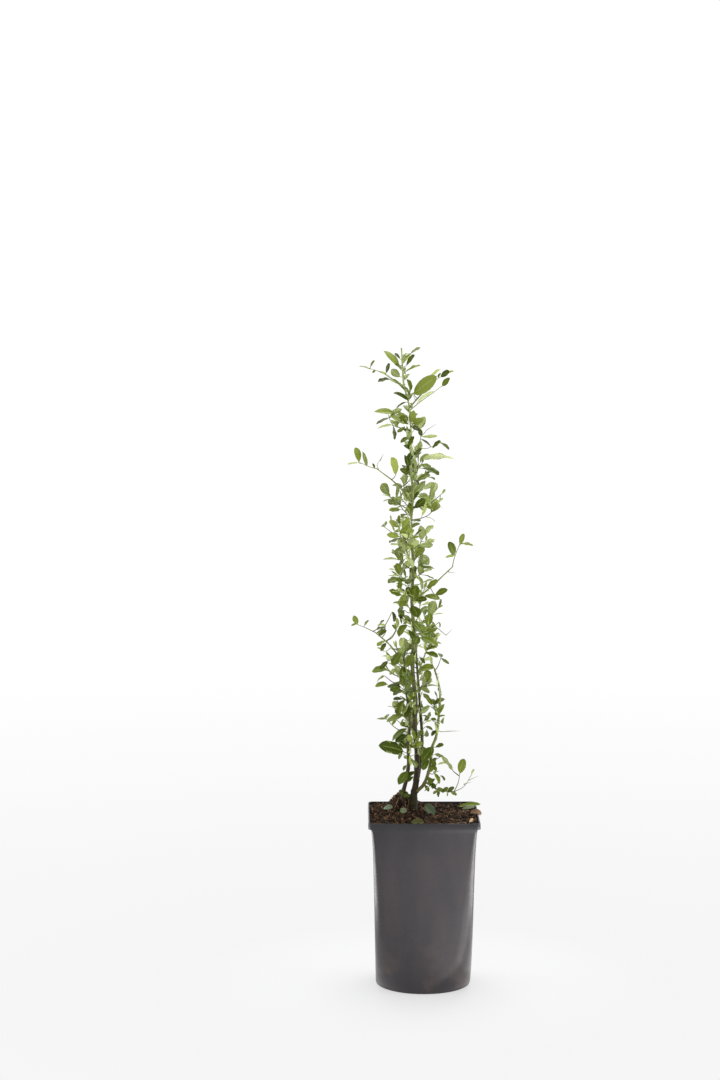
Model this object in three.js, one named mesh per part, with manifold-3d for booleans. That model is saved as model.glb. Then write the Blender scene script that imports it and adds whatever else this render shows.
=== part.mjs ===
// A young firethorn grown as a narrow column, in a tall pot that is square at the rim and round at the foot.
// Millimetres, +Z up. The origin is the centre of the pot's flat underside, and -Y is the plant's front.
import * as THREE from "three";
import Module from "manifold-3d";
import { mergeVertices } from "three/addons/utils/BufferGeometryUtils.js";

const wasm = await Module();
wasm.setup();

// ---- driving dimensions ----
const POT_HEIGHT = 216;
const POT_FOOT_RADIUS = 59.2; // round at the foot
const POT_FOOT_EDGE = 2.5; // the small bevel where the wall meets the underside
const WALL_TAPER = 4.2; // how much wider, to each side, the straight wall is at its top
const COLLAR_FLARE = 2; // it opens this much more close under the rim
const COLLAR_BEND = 12; // the higher, the later it opens
const POT_TOP_CORNER = 4; // the square top's corner radius
const CORNER_TAPER = 20; // how much rounder the corners get, evenly, down to the foot
const FOOT_BEND = 8; // the higher, the lower down they open to the full round
const POT_WALL = 1.6;
const POT_FLOOR = 2.5;
const FLOOR_BEVEL = 1; // inside, where the wall meets the floor
const RIM_HALF = 69;
const RIM_CORNER = 7;
const RIM_DEPTH = 8;
const RIM_LIP = 1.8; // width of the rim's flat top
const LEDGE_Z = 209.6; // inside the rim the wall steps out here, and the compost covers the step
const CORNER_SEGMENTS = 5;
const CORNER_PULL = 0.98; // full-round corners meet each other, so their ends are pulled in a hair

const GAP = 0.35; // clearance between neighbouring solids
const SOIL_LEVEL = 211.6; // the compost's general level
const SOIL_TILT = 0.022; // it lies a little higher at the back
const SOIL_EDGE_LOWEST = 211; // at the rim it stays above the step
const MOUND = { x: -24, y: 8, height: 28, spread: 17 }; // the old root ball, which sits proud
const SOIL_LUMP = 0.9;
const SOIL_RINGS = 6;

const TRUNK_FOOT_Z = 214; // the levels of the flat cuts, some way down in the compost
const STEM_FOOT_Z = 229;
const LIMB_SIDES = 6;
const LIMB_STEP = 22; // mean length of one segment along a limb
const LIMB_CROWDING = 1.35; // above 1, the segments are shorter towards the root
const FLARE_REACH = 12; // how far up the root flare is felt
const MASS_SIDES = 9;
const MASS_BANDS = 6;

// ---- helpers for solids ----
const v = (x, y, z) => new THREE.Vector3(x, y, z);

function solidOf(geometry) {
  geometry.deleteAttribute("normal");
  geometry.deleteAttribute("uv");
  const merged = mergeVertices(geometry, 1e-3);
  return new wasm.Manifold(
    new wasm.Mesh({
      numProp: 3,
      vertProperties: new Float32Array(merged.attributes.position.array),
      triVerts: new Uint32Array(merged.index.array),
    }),
  );
}

function geometryOf(solid) {
  const mesh = solid.getMesh();
  const position = new THREE.BufferAttribute(new Float32Array(mesh.vertProperties), 3);
  return new THREE.BufferGeometry()
    .setAttribute("position", position)
    .setIndex(new THREE.BufferAttribute(new Uint32Array(mesh.triVerts), 1));
}

// Joins rings of equal length into one closed skin, with a flat fan over the first and the last ring.
function loft(rings) {
  const count = rings[0].length;
  const points = rings.flat();
  const middle = (ring) =>
    ring.reduce((sum, p) => sum.add(p), v(0, 0, 0)).multiplyScalar(1 / count);
  const first = points.push(middle(rings[0])) - 1;
  const last = points.push(middle(rings.at(-1))) - 1;
  const faces = [];
  for (let j = 0; j < count; j++) {
    const next = (j + 1) % count;
    faces.push(first, next, j);
    for (let i = 0; i + 1 < rings.length; i++) {
      const a = i * count;
      const b = a + count;
      faces.push(a + j, a + next, b + next, a + j, b + next, b + j);
    }
    const top = (rings.length - 1) * count;
    faces.push(last, top + j, top + next);
  }
  return new THREE.BufferGeometry().setFromPoints(points).setIndex(faces);
}

// ---- the pot ----
function roundedSquare(half, corner, z) {
  const ring = [];
  for (let quarter = 0; quarter < 4; quarter++) {
    const middle = ((quarter + 0.5) * Math.PI) / 2;
    const inset = (half - corner) * Math.SQRT2;
    for (let i = 0; i <= CORNER_SEGMENTS; i++) {
      const turn = ((i / CORNER_SEGMENTS - 0.5) * CORNER_PULL * Math.PI) / 2;
      ring.push(
        v(
          inset * Math.cos(middle) + corner * Math.cos(middle + turn),
          inset * Math.sin(middle) + corner * Math.sin(middle + turn),
          z,
        ),
      );
    }
  }
  return ring;
}

// The wall's outline at a height: the corners tighten from the round foot to the square top.
function potOutline(z, inward = 0) {
  const share = Math.min(1, z / (POT_HEIGHT - RIM_DEPTH));
  const half = POT_FOOT_RADIUS + WALL_TAPER * share + COLLAR_FLARE * share ** COLLAR_BEND;
  const toRound = POT_FOOT_RADIUS - POT_TOP_CORNER - CORNER_TAPER;
  const corner = POT_TOP_CORNER + CORNER_TAPER * (1 - share) + toRound * (1 - share) ** FOOT_BEND;
  return roundedSquare(half - inward, corner - inward, z);
}

const WALL_SHARES = [0.03, 0.1, 0.2, 0.4, 0.9, 1]; // closer where the corners change fastest
const WALL_LEVELS = WALL_SHARES.map((share) => share * (POT_HEIGHT - RIM_DEPTH));

function potGeometry() {
  const mouth = RIM_HALF - RIM_LIP;
  const foot = POT_FOOT_RADIUS - POT_FOOT_EDGE;
  return loft([
    roundedSquare(foot, foot, 0),
    ...WALL_LEVELS.map((z) => potOutline(z)),
    roundedSquare(RIM_HALF, RIM_CORNER, POT_HEIGHT - RIM_DEPTH),
    roundedSquare(RIM_HALF, RIM_CORNER, POT_HEIGHT),
    roundedSquare(mouth, RIM_CORNER - RIM_LIP, POT_HEIGHT),
    roundedSquare(mouth, RIM_CORNER - RIM_LIP, LEDGE_Z),
    potOutline(LEDGE_Z, POT_WALL),
    ...WALL_LEVELS.slice(0, -1).toReversed().map((z) => potOutline(Math.max(z, POT_FLOOR), POT_WALL)),
    potOutline(POT_FLOOR, POT_WALL + FLOOR_BEVEL),
  ]);
}

// ---- the compost ----
function soilHeight(x, y) {
  const away = (x - MOUND.x) ** 2 + (y - MOUND.y) ** 2;
  const mound = MOUND.height * Math.exp(-away / (2 * MOUND.spread ** 2));
  const lumps = Math.sin(x * 0.21 + 1.3) * Math.cos(y * 0.17 - 0.4) + 0.6 * Math.sin(x * 0.11 - y * 0.27);
  return SOIL_LEVEL + SOIL_TILT * y + mound + SOIL_LUMP * lumps;
}

function soilGeometry() {
  const inward = POT_WALL + GAP;
  const floor = POT_FLOOR + GAP;
  const side = WALL_LEVELS.slice(1, -1).map((z) => potOutline(z, inward));
  const step = LEDGE_Z + GAP;
  const edge = roundedSquare(RIM_HALF - RIM_LIP - GAP, RIM_CORNER - RIM_LIP - GAP, step);
  const top = [];
  for (let i = 0; i < SOIL_RINGS; i++) {
    const share = 1 - i / SOIL_RINGS;
    const lowest = i === 0 ? SOIL_EDGE_LOWEST : 0;
    top.push(
      edge.map((p) => {
        const x = p.x * share;
        const y = p.y * share;
        return v(x, y, Math.max(lowest, soilHeight(x, y)));
      }),
    );
  }
  const foot = potOutline(floor, inward + FLOOR_BEVEL);
  return loft([foot, ...side, potOutline(step, inward), edge, ...top]);
}

// ---- stems and boughs ----
// Each limb is one tapering tube along a smooth line. With "taper" under 1 it thins faster near its root.
// "grow" swells it, for cutting clearance round it.
function limbGeometry({ line, thick, thin, flare = 0, taper = 1 }, grow = 0) {
  const curve = new THREE.CatmullRomCurve3(line.map((p) => v(...p)), false, "centripetal");
  const length = curve.getLength();
  const steps = Math.max(3, Math.round(length / LIMB_STEP));
  const rings = [];
  for (let i = 0; i <= steps; i++) {
    const share = (i / steps) ** LIMB_CROWDING;
    const swell = flare * Math.exp((-share * length) / FLARE_REACH) + grow;
    const radius = THREE.MathUtils.lerp(thick, thin, share ** taper) / 2 + swell;
    const middle = curve.getPointAt(share);
    const along = curve.getTangentAt(share);
    const side = v(0, 1, 0).cross(along).normalize();
    const front = along.clone().cross(side);
    // The swollen copy also reaches further at both ends.
    if (i === 0) middle.addScaledVector(along, -grow);
    if (i === steps) middle.addScaledVector(along, grow);
    const ring = [];
    for (let j = 0; j < LIMB_SIDES; j++) {
      const turn = (j / LIMB_SIDES) * 2 * Math.PI;
      const x = radius * Math.cos(turn);
      const y = radius * Math.sin(turn);
      ring.push(middle.clone().addScaledVector(side, x).addScaledVector(front, y));
    }
    rings.push(ring);
  }
  return loft(rings);
}

// line: points from the root end to the tip. thick and thin: diameters at those ends.
const STEMS = {
  main_stem: {
    line: [
      [-12, -1, TRUNK_FOOT_Z], [-12, -1, 236], [-9, 1, 254], [-7.6, 4, 288], [-10.6, 5.4, 322], [-9.8, 4, 356],
      [-13.6, 2.4, 396], [-12.2, 0, 440], [-14.6, -1.6, 486], [-13.4, -2.6, 530], [-16, -0.8, 574],
      [-14, 0.4, 616], [-16.4, 0.6, 652], [-16.2, 0.6, 688], [-18.5, 0, 724], [-25, 0, 750], [-28, 0, 793],
    ],
    thick: 10,
    thin: 1.8,
    flare: 4,
    taper: 0.42,
  },
  left_stem: {
    line: [
      [-25, -3, STEM_FOOT_Z], [-25, -3, 242], [-21, -3, 259], [-18.5, -4, 278], [-19, -5, 303], [-17, -6, 335],
      [-22, -4, 375], [-25, 2, 420],
    ],
    thick: 5,
    thin: 2.6,
    flare: 1,
  },
  right_stem: {
    line: [
      [-8, -2, 243], [1, -4, 253], [8.5, -5, 277], [10.5, -4, 298], [16, -1, 312], [19.5, 2, 340],
      [20.5, 4, 370], [14, 3, 396],
    ],
    thick: 4.4,
    thin: 2.2,
  },
  back_stem: {
    line: [[-10, 4, 248], [-5, 15, 264], [-1, 21, 300], [-4, 23, 350], [-8, 20, 405], [-11, 14, 452]],
    thick: 4.6,
    thin: 2.2,
  },
};

const BOUGHS = {
  top_left_bough: { line: [[-24, 0, 744], [-36, -3, 755], [-50, -4, 764]], thick: 1.9, thin: 1.1 },
  top_right_bough: { line: [[-18, -1, 722], [-5, -4, 737], [8, -7, 751]], thick: 2, thin: 1.1 },
  tuft_left_bough: { line: [[-16, 0, 688], [-27, -2, 696], [-38, -3, 700]], thick: 1.8, thin: 1.1 },
  middle_left_bough: { line: [[-16, -2, 606], [-34, -6, 628], [-58, -10, 647]], thick: 2.3, thin: 1.2 },
  middle_right_bough: { line: [[-13, -3, 482], [8, -8, 500], [35, -12, 526]], thick: 2.4, thin: 1.3 },
  low_left_bough: { line: [[-25, 0, 404], [-42, -6, 428], [-60, -9, 444]], thick: 2.3, thin: 1.3 },
  foot_right_bough: { line: [[3, -5, 255], [19, -12, 247], [38, -14, 245]], thick: 2.2, thin: 1.4 },
  high_back_bough: { line: [[-15, 2, 592], [-14, 24, 616], [-9, 42, 634]], thick: 2.2, thin: 1.2 },
  low_back_bough: { line: [[-7, 24, 385], [0, 38, 402], [7, 50, 418]], thick: 2.3, thin: 1.3 },
  front_bough: { line: [[-15, -5, 528], [-22, -24, 546], [-26, -42, 561]], thick: 2.2, thin: 1.2 },
};

// ---- masses of foliage ----
// One uneven solid from root to tip: a swollen ball drawn out between them, with lumps of its own.
function massGeometry({ root, tip, girth, seed }, grow = 0) {
  const from = v(...root);
  const to = v(...tip);
  const along = to.clone().sub(from);
  const half = along.length() / 2;
  const turn = new THREE.Quaternion().setFromUnitVectors(v(0, 1, 0), along.clone().normalize());
  const middle = from.clone().add(to).multiplyScalar(0.5);
  const geometry = new THREE.SphereGeometry(1, MASS_SIDES, MASS_BANDS);
  const at = geometry.attributes.position;
  for (let i = 0; i < at.count; i++) {
    const d = v(at.getX(i), at.getY(i), at.getZ(i));
    const lump =
      1 +
      0.13 * Math.sin(3.1 * d.x + 2.3 * d.y + seed) +
      0.11 * Math.sin(4.3 * d.z - 3.7 * d.x + 1.7 * seed) +
      0.08 * Math.sin(5.9 * d.y + 4.9 * d.z + 2.9 * seed);
    const across = girth * (0.95 + 0.2 * d.y) * lump + grow;
    const p = v(d.x * across, d.y * (half + grow), d.z * across);
    p.applyQuaternion(turn).add(middle);
    at.setXYZ(i, p.x, p.y, p.z);
  }
  return geometry;
}

// The column: upright lobes stand round the stems in tiers of three, each tier turned against the next.
// z: the middle of the tier. rise: half its height. reach: how far each lobe stands out from the column's
// line, towards the side it is named for.
const COLUMN = { x: -12, y: 1 };
const LOBE_FOOT = 0.4; // the lobe's lower end, as a share of its reach
const LOBE_HEAD = 0.6;
const LOBE_GIRTH = 0.53;
// Degrees from the plant's right, round by its back.
const FACING = {
  right: -15,
  back_right: 55,
  back: 92,
  back_left: 130,
  left: 190,
  front_left: 230,
  front_right: 312,
};
const TIERS = [
  { name: "foot", z: 279, rise: 23, reach: { front_left: 38, right: 50, back: 44 } },
  { name: "skirt", z: 326, rise: 30, reach: { left: 38, front_right: 51, back: 52 } },
  { name: "belly", z: 386, rise: 33, reach: { front_left: 62, right: 36, back_left: 54 } },
  { name: "waist", z: 450, rise: 33, reach: { left: 50, front_right: 48, back_right: 53 } },
  { name: "rib", z: 515, rise: 34, reach: { front_left: 54, right: 43, back_left: 52 } },
  { name: "neck", z: 581, rise: 34, reach: { left: 41, front_right: 53, back_right: 52 } },
  { name: "shoulder", z: 646, rise: 33, reach: { front_left: 46, right: 50, back_left: 43 } },
];

function tierLobes() {
  const lobes = {};
  TIERS.forEach(({ name, z, rise, reach }, t) =>
    Object.entries(reach).forEach(([side, away], s) => {
      const angle = THREE.MathUtils.degToRad(FACING[side]);
      const sway = 4 * Math.sin(2.1 * t + 2.3 * s);
      const place = (share, height) => [
        COLUMN.x + share * away * Math.cos(angle),
        COLUMN.y + share * away * Math.sin(angle),
        height + sway,
      ];
      lobes[`${name}_${side}`] = {
        root: place(LOBE_FOOT, z - rise),
        tip: place(LOBE_HEAD, z + rise),
        girth: LOBE_GIRTH * away,
        seed: 1.9 * t + 0.8 * s,
      };
    }),
  );
  return lobes;
}

// The masses at the ends of the boughs and stems, above and outside the column.
const OUTER_MASSES = {
  crown_tip: { root: [-22, 0, 740], tip: [-26, 0, 798], girth: 20, seed: 0.4 },
  top_left_spray: { root: [-40, -3, 757], tip: [-80, -5, 774], girth: 9, seed: 1.1 },
  top_right_spray: { root: [-8, -5, 740], tip: [39, -9, 769], girth: 13, seed: 2.6 },
  tuft_left: { root: [-30, -2, 696], tip: [-62, -4, 710], girth: 13, seed: 3.3 },
  tuft_right: { root: [-16, 2, 696], tip: [6, -8, 714], girth: 12, seed: 5.1 },
  middle_left_spray: { root: [-49, -9, 648], tip: [-95, -13, 666], girth: 12, seed: 3.2 },
  middle_right_spray: { root: [26, -11, 522], tip: [59, -15, 558], girth: 10, seed: 4.1 },
  low_left_spray: { root: [-52, -8, 441], tip: [-90, -12, 464], girth: 9, seed: 5.3 },
  foot_right_spray: { root: [28, -13, 241], tip: [64, -15, 282], girth: 12, seed: 6.2 },
  high_back_spray: { root: [-9, 36, 632], tip: [-5, 64, 662], girth: 11, seed: 7.4 },
  low_back_spray: { root: [4, 44, 414], tip: [14, 70, 444], girth: 11, seed: 8.3 },
  front_spray: { root: [-25, -36, 560], tip: [-30, -66, 590], girth: 11, seed: 9.6 },
};

// The largest body of a cut solid: the offcuts are dropped.
function largestBody(solid) {
  return solid.decompose().reduce((best, body) => (body.volume() > best.volume() ? body : best));
}

// ---- assembly ----
const PLASTIC = { color: 0x4b4749, roughness: 0.55, metalness: 0 };
const COMPOST = { color: 0x2b211a, roughness: 0.95, metalness: 0 };
const BARK = { color: 0x4d4436, roughness: 0.85, metalness: 0 };
const LEAF = { color: 0x4f7a2c, roughness: 0.5, metalness: 0 };

function named(name, geometry, finish) {
  const mesh = new THREE.Mesh(geometry, new THREE.MeshStandardMaterial(finish));
  mesh.name = name;
  return mesh;
}

const plant = new THREE.Group();
plant.add(named("pot", potGeometry(), PLASTIC));

// The limbs stand in their own sockets in the compost, and each gives way to those made before it.
let limbClearance = null;
for (const [name, limb] of Object.entries({ ...STEMS, ...BOUGHS })) {
  const whole = solidOf(limbGeometry(limb));
  const cut = limbClearance ? largestBody(whole.subtract(limbClearance)) : whole;
  const swollen = solidOf(limbGeometry(limb, GAP));
  limbClearance = limbClearance ? limbClearance.add(swollen) : swollen;
  plant.add(named(name, geometryOf(cut), BARK));
}
const compost = solidOf(soilGeometry()).subtract(limbClearance);
plant.add(named("compost", geometryOf(largestBody(compost)), COMPOST));

// Each mass gives way to the limbs and to the masses made before it.
let massClearance = limbClearance;
for (const [name, mass] of Object.entries({ ...OUTER_MASSES, ...tierLobes() })) {
  const cut = largestBody(solidOf(massGeometry(mass)).subtract(massClearance));
  massClearance = massClearance.add(solidOf(massGeometry(mass, GAP)));
  plant.add(named(name, geometryOf(cut), LEAF));
}

export default plant;
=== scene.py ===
"""A young firethorn in its nursery pot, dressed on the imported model.

Shapes are worked out in millimetres and turned into metres when a mesh is made. +Z is up, -Y is the
plant's front, and the origin is the centre of the pot's flat underside.
"""
import math
import random

import bpy
import numpy as np
from mathutils import Matrix, Vector, noise


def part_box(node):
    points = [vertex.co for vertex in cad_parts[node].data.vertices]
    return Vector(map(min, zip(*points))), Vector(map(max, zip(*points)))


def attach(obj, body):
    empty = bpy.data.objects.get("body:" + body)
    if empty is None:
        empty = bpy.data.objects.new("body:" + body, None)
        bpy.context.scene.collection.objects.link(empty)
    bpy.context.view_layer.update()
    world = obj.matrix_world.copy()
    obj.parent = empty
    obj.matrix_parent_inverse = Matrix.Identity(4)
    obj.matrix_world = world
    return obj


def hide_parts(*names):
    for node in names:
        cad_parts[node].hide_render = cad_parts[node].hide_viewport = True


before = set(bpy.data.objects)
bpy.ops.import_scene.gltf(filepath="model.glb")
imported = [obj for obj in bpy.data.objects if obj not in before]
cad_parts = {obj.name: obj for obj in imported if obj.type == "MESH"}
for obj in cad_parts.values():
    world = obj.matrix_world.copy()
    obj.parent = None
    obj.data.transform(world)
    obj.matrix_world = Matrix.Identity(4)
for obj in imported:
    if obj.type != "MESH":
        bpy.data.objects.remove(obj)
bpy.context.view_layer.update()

MM = 0.001
BODY = "root"
UP = Vector((0, 0, 1))
GOLDEN_TURN = math.radians(137.5)  # from each leaf to the next, round its twig

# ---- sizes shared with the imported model, in millimetres ----
POT_HEIGHT = 216
POT_FOOT_RADIUS = 59.2
WALL_TAPER = 4.2
COLLAR_FLARE = 2
COLLAR_BEND = 12
POT_TOP_CORNER = 4
CORNER_TAPER = 20
FOOT_BEND = 8
POT_WALL = 1.6
POT_FLOOR = 2.5
RIM_HALF = 69
RIM_CORNER = 7
RIM_DEPTH = 8
RIM_LIP = 1.8
LEDGE_Z = 209.6
GAP = 0.35
SOIL_LEVEL = 211.6
SOIL_TILT = 0.022
MOUND_X, MOUND_Y, MOUND_HEIGHT, MOUND_SPREAD = -24, 8, 28, 17
SOIL_LUMP = 0.9
FLARE_REACH = 12

# Each limb: its line from root to tip, its diameters at both ends, its root flare, and how fast it thins.
LIMBS = {
    "main_stem": (
        [(-12, -1, 214), (-12, -1, 236), (-9, 1, 254), (-7.6, 4, 288), (-10.6, 5.4, 322), (-9.8, 4, 356),
         (-13.6, 2.4, 396), (-12.2, 0, 440), (-14.6, -1.6, 486), (-13.4, -2.6, 530), (-16, -0.8, 574),
         (-14, 0.4, 616), (-16.4, 0.6, 652), (-16.2, 0.6, 688), (-18.5, 0, 724), (-25, 0, 750),
         (-28, 0, 793)],
        10, 1.8, 4, 0.42),
    "left_stem": (
        [(-25, -3, 229), (-25, -3, 242), (-21, -3, 259), (-18.5, -4, 278), (-19, -5, 303), (-17, -6, 335),
         (-22, -4, 375), (-25, 2, 420)],
        5, 2.6, 1, 1),
    "right_stem": (
        [(-8, -2, 243), (1, -4, 253), (8.5, -5, 277), (10.5, -4, 298), (16, -1, 312), (19.5, 2, 340),
         (20.5, 4, 370), (14, 3, 396)],
        4.4, 2.2, 0, 1),
    "back_stem": (
        [(-10, 4, 248), (-5, 15, 264), (-1, 21, 300), (-4, 23, 350), (-8, 20, 405), (-11, 14, 452)],
        4.6, 2.2, 0, 1),
    "top_left_bough": ([(-24, 0, 744), (-36, -3, 755), (-50, -4, 764)], 1.9, 1.1, 0, 1),
    "top_right_bough": ([(-18, -1, 722), (-5, -4, 737), (8, -7, 751)], 2, 1.1, 0, 1),
    "tuft_left_bough": ([(-16, 0, 688), (-27, -2, 696), (-38, -3, 700)], 1.8, 1.1, 0, 1),
    "middle_left_bough": ([(-16, -2, 606), (-34, -6, 628), (-58, -10, 647)], 2.3, 1.2, 0, 1),
    "middle_right_bough": ([(-13, -3, 482), (8, -8, 500), (35, -12, 526)], 2.4, 1.3, 0, 1),
    "low_left_bough": ([(-25, 0, 404), (-42, -6, 428), (-60, -9, 444)], 2.3, 1.3, 0, 1),
    "foot_right_bough": ([(3, -5, 255), (19, -12, 247), (38, -14, 245)], 2.2, 1.4, 0, 1),
    "high_back_bough": ([(-15, 2, 592), (-14, 24, 616), (-9, 42, 634)], 2.2, 1.2, 0, 1),
    "low_back_bough": ([(-7, 24, 385), (0, 38, 402), (7, 50, 418)], 2.3, 1.3, 0, 1),
    "front_bough": ([(-15, -5, 528), (-22, -24, 546), (-26, -42, 561)], 2.2, 1.2, 0, 1),
}
STEMS = ("main_stem", "left_stem", "right_stem", "back_stem")

MASSES = sorted(set(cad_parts) - {"pot", "compost", *LIMBS})


# ---- meshes ----
def show(name, data):
    """A new object with its data, in the scene."""
    made = bpy.data.objects.new(name, data)
    bpy.context.scene.collection.objects.link(made)
    return made


class Builder:
    """Gathers points and faces in millimetres, with a finish for each face, and makes one piece of them."""

    def __init__(self):
        self.points = []
        self.faces = []
        self.finishes = []

    def add(self, points, faces, finish):
        first = len(self.points)
        self.points.extend(tuple(p) for p in points)
        self.faces.extend(tuple(first + i for i in face) for face in faces)
        self.finishes.extend([finish] * len(faces) if isinstance(finish, str) else finish)

    def piece(self, name, slot, nodes=(), smooth=True):
        mesh = bpy.data.meshes.new(name)
        scaled = np.array(self.points, float) * MM
        mesh.from_pydata(scaled.tolist(), [], self.faces)
        used = sorted(set(self.finishes))
        for finish in used:
            mesh.materials.append(MATERIALS[finish])
        mesh.polygons.foreach_set("material_index", [used.index(f) for f in self.finishes])
        mesh.polygons.foreach_set("use_smooth", [smooth] * len(self.faces))
        mesh.update()
        piece = show(name, mesh)
        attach(piece, BODY)
        if nodes:
            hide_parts(*nodes)


def ring_faces(rows, count):
    """Quads between closed rings of equal length, with a flat face over each end."""
    faces = []
    for i in range(rows - 1):
        for j in range(count):
            k = (j + 1) % count
            faces.append((i * count + j, i * count + k, (i + 1) * count + k, (i + 1) * count + j))
    faces.append(tuple(reversed(range(count))))
    faces.append(tuple((rows - 1) * count + j for j in range(count)))
    return faces


def net_faces(rows, columns):
    """Quads between the points of an open net."""
    starts = [i * columns + j for i in range(rows - 1) for j in range(columns - 1)]
    return [(a, a + columns, a + columns + 1, a + 1) for a in starts]


def backs(faces, offset):
    """The same faces turned over, between points that come later by an offset."""
    return [tuple(offset + k for k in reversed(face)) for face in faces]


def smooth_line(points, step):
    """Points about a step apart on the centripetal Catmull-Rom curve through the given ones."""
    given = [Vector(p) for p in points]
    padded = [2 * given[0] - given[1], *given, 2 * given[-1] - given[-2]]
    line = [given[0]]
    for p0, p1, p2, p3 in zip(padded, padded[1:], padded[2:], padded[3:]):
        t1 = (p1 - p0).length ** 0.5
        t2 = t1 + (p2 - p1).length ** 0.5
        t3 = t2 + (p3 - p2).length ** 0.5
        count = max(2, round((p2 - p1).length / step))
        for i in range(1, count + 1):
            t = t1 + (t2 - t1) * i / count
            a1 = p0.lerp(p1, t / t1)
            a2 = p1.lerp(p2, (t - t1) / (t2 - t1))
            a3 = p2.lerp(p3, (t - t2) / (t3 - t2))
            b1 = a1.lerp(a2, t / t2)
            b2 = a2.lerp(a3, (t - t1) / (t3 - t1))
            line.append(b1.lerp(b2, (t - t1) / (t2 - t1)))
    return line


def shares(line):
    """How far along its line each point lies, from 0 to 1, and the line's length."""
    lengths = [0.0]
    for a, b in zip(line, line[1:]):
        lengths.append(lengths[-1] + (b - a).length)
    return [x / lengths[-1] for x in lengths], lengths[-1]


def tangents(line):
    last = len(line) - 1
    return [(line[min(i + 1, last)] - line[max(i - 1, 0)]).normalized() for i in range(last + 1)]


def across(direction):
    """Some unit vector square to a direction."""
    other = UP if abs(direction.z) < 0.9 else Vector((1, 0, 0))
    return direction.cross(other).normalized()


def spoke(axis, turn):
    """A unit vector square to an axis, at some turn round it."""
    side = across(axis)
    return side * math.cos(turn) + axis.cross(side) * math.sin(turn)


def rotation(angle, axis):
    return Matrix.Rotation(angle, 3, axis)


def tube(builder, line, radii, sides, finish, relief=None):
    """A closed tube round a line. relief(point, outward) gives how far the skin stands out there."""
    side = across((line[1] - line[0]).normalized())
    points = []
    for point, direction, radius in zip(line, tangents(line), radii):
        side = (side - direction * side.dot(direction)).normalized()
        front = direction.cross(side)
        for j in range(sides):
            turn = 2 * math.pi * j / sides
            outward = side * math.cos(turn) + front * math.sin(turn)
            points.append(point + outward * (radius + (relief(point, outward) if relief else 0)))
    builder.add(points, ring_faces(len(line), sides), finish)


# ---- materials ----
MATERIALS = {}


def colour(red, green, blue):
    """A colour given as the eye reads it on a screen, 0 to 255, turned linear for the shader."""
    def linear(value):
        value /= 255
        return value / 12.92 if value <= 0.04045 else ((value + 0.055) / 1.055) ** 2.4
    return (linear(red), linear(green), linear(blue), 1)


def feed(node, **values):
    """Links a node's sockets or sets them, by name, or sets the node's own setting of that name."""
    for key, value in values.items():
        if isinstance(value, bpy.types.NodeSocket):
            node.id_data.links.new(value, node.inputs[key])
        elif key in node.inputs:
            node.inputs[key].default_value = value
        else:
            setattr(node, key, value)
    return node


def add_node(tree, kind, **values):
    return feed(tree.nodes.new(kind), **values)


def material(name, roughness, specular):
    """A new material's node tree and its Principled shader."""
    made = bpy.data.materials.new(name)
    made.use_nodes = True
    MATERIALS[name] = made
    shader = made.node_tree.nodes["Principled BSDF"]
    return made.node_tree, feed(shader, **{"Roughness": roughness, "Specular IOR Level": specular})


def dress(shader, tint, height, strength, distance):
    """Gives a shader its colour, and relief from a height pattern, with distance in metres."""
    relief = add_node(shader.id_data, "ShaderNodeBump", Height=height, Strength=strength, Distance=distance)
    feed(shader, **{"Base Color": tint, "Normal": relief.outputs["Normal"]})


def place(tree, stretch=(1, 1, 1)):
    """The object's own coordinates in metres, stretched."""
    where = add_node(tree, "ShaderNodeTexCoord").outputs["Object"]
    return add_node(tree, "ShaderNodeMapping", Vector=where, Scale=stretch).outputs["Vector"]


def grain(tree, where, scale, detail, roughness=0.55):
    """A noise pattern, with scale in features per metre."""
    pattern = {"Vector": where, "Scale": scale, "Detail": detail, "Roughness": roughness}
    return add_node(tree, "ShaderNodeTexNoise", **pattern).outputs["Fac"]


def ramp(tree, factor, *stops):
    """A colour ramp: each stop is a place from 0 to 1 and a colour's red, green and blue."""
    node = add_node(tree, "ShaderNodeValToRGB", Fac=factor)
    elements = node.color_ramp.elements
    while len(elements) < len(stops):
        elements.new(0.5)
    for element, (position, *tint) in zip(elements, stops):
        element.position = position
        element.color = colour(*tint)
    return node.outputs["Color"]


def blend(tree, factor, first, second):
    mixed = add_node(tree, "ShaderNodeMix", data_type="RGBA", Factor=factor, A=first, B=second)
    return mixed.outputs["Result"]


def span(tree, value, low, high, to_low=0.0, to_high=1.0):
    """A value from low to high, spread over another range and held at its ends."""
    ends = {"From Min": low, "From Max": high, "To Min": to_low, "To Max": to_high}
    return add_node(tree, "ShaderNodeMapRange", Value=value, **ends).outputs["Result"]


def combine(tree, operation, first, second):
    """The sum or the product of two values."""
    node = add_node(tree, "ShaderNodeMath", operation=operation)
    tree.links.new(first, node.inputs[0])
    tree.links.new(second, node.inputs[1])
    return node.outputs["Value"]


def height_of(tree, where):
    """The height above the floor, in metres."""
    return add_node(tree, "ShaderNodeSeparateXYZ", Vector=where).outputs["Z"]


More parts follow.
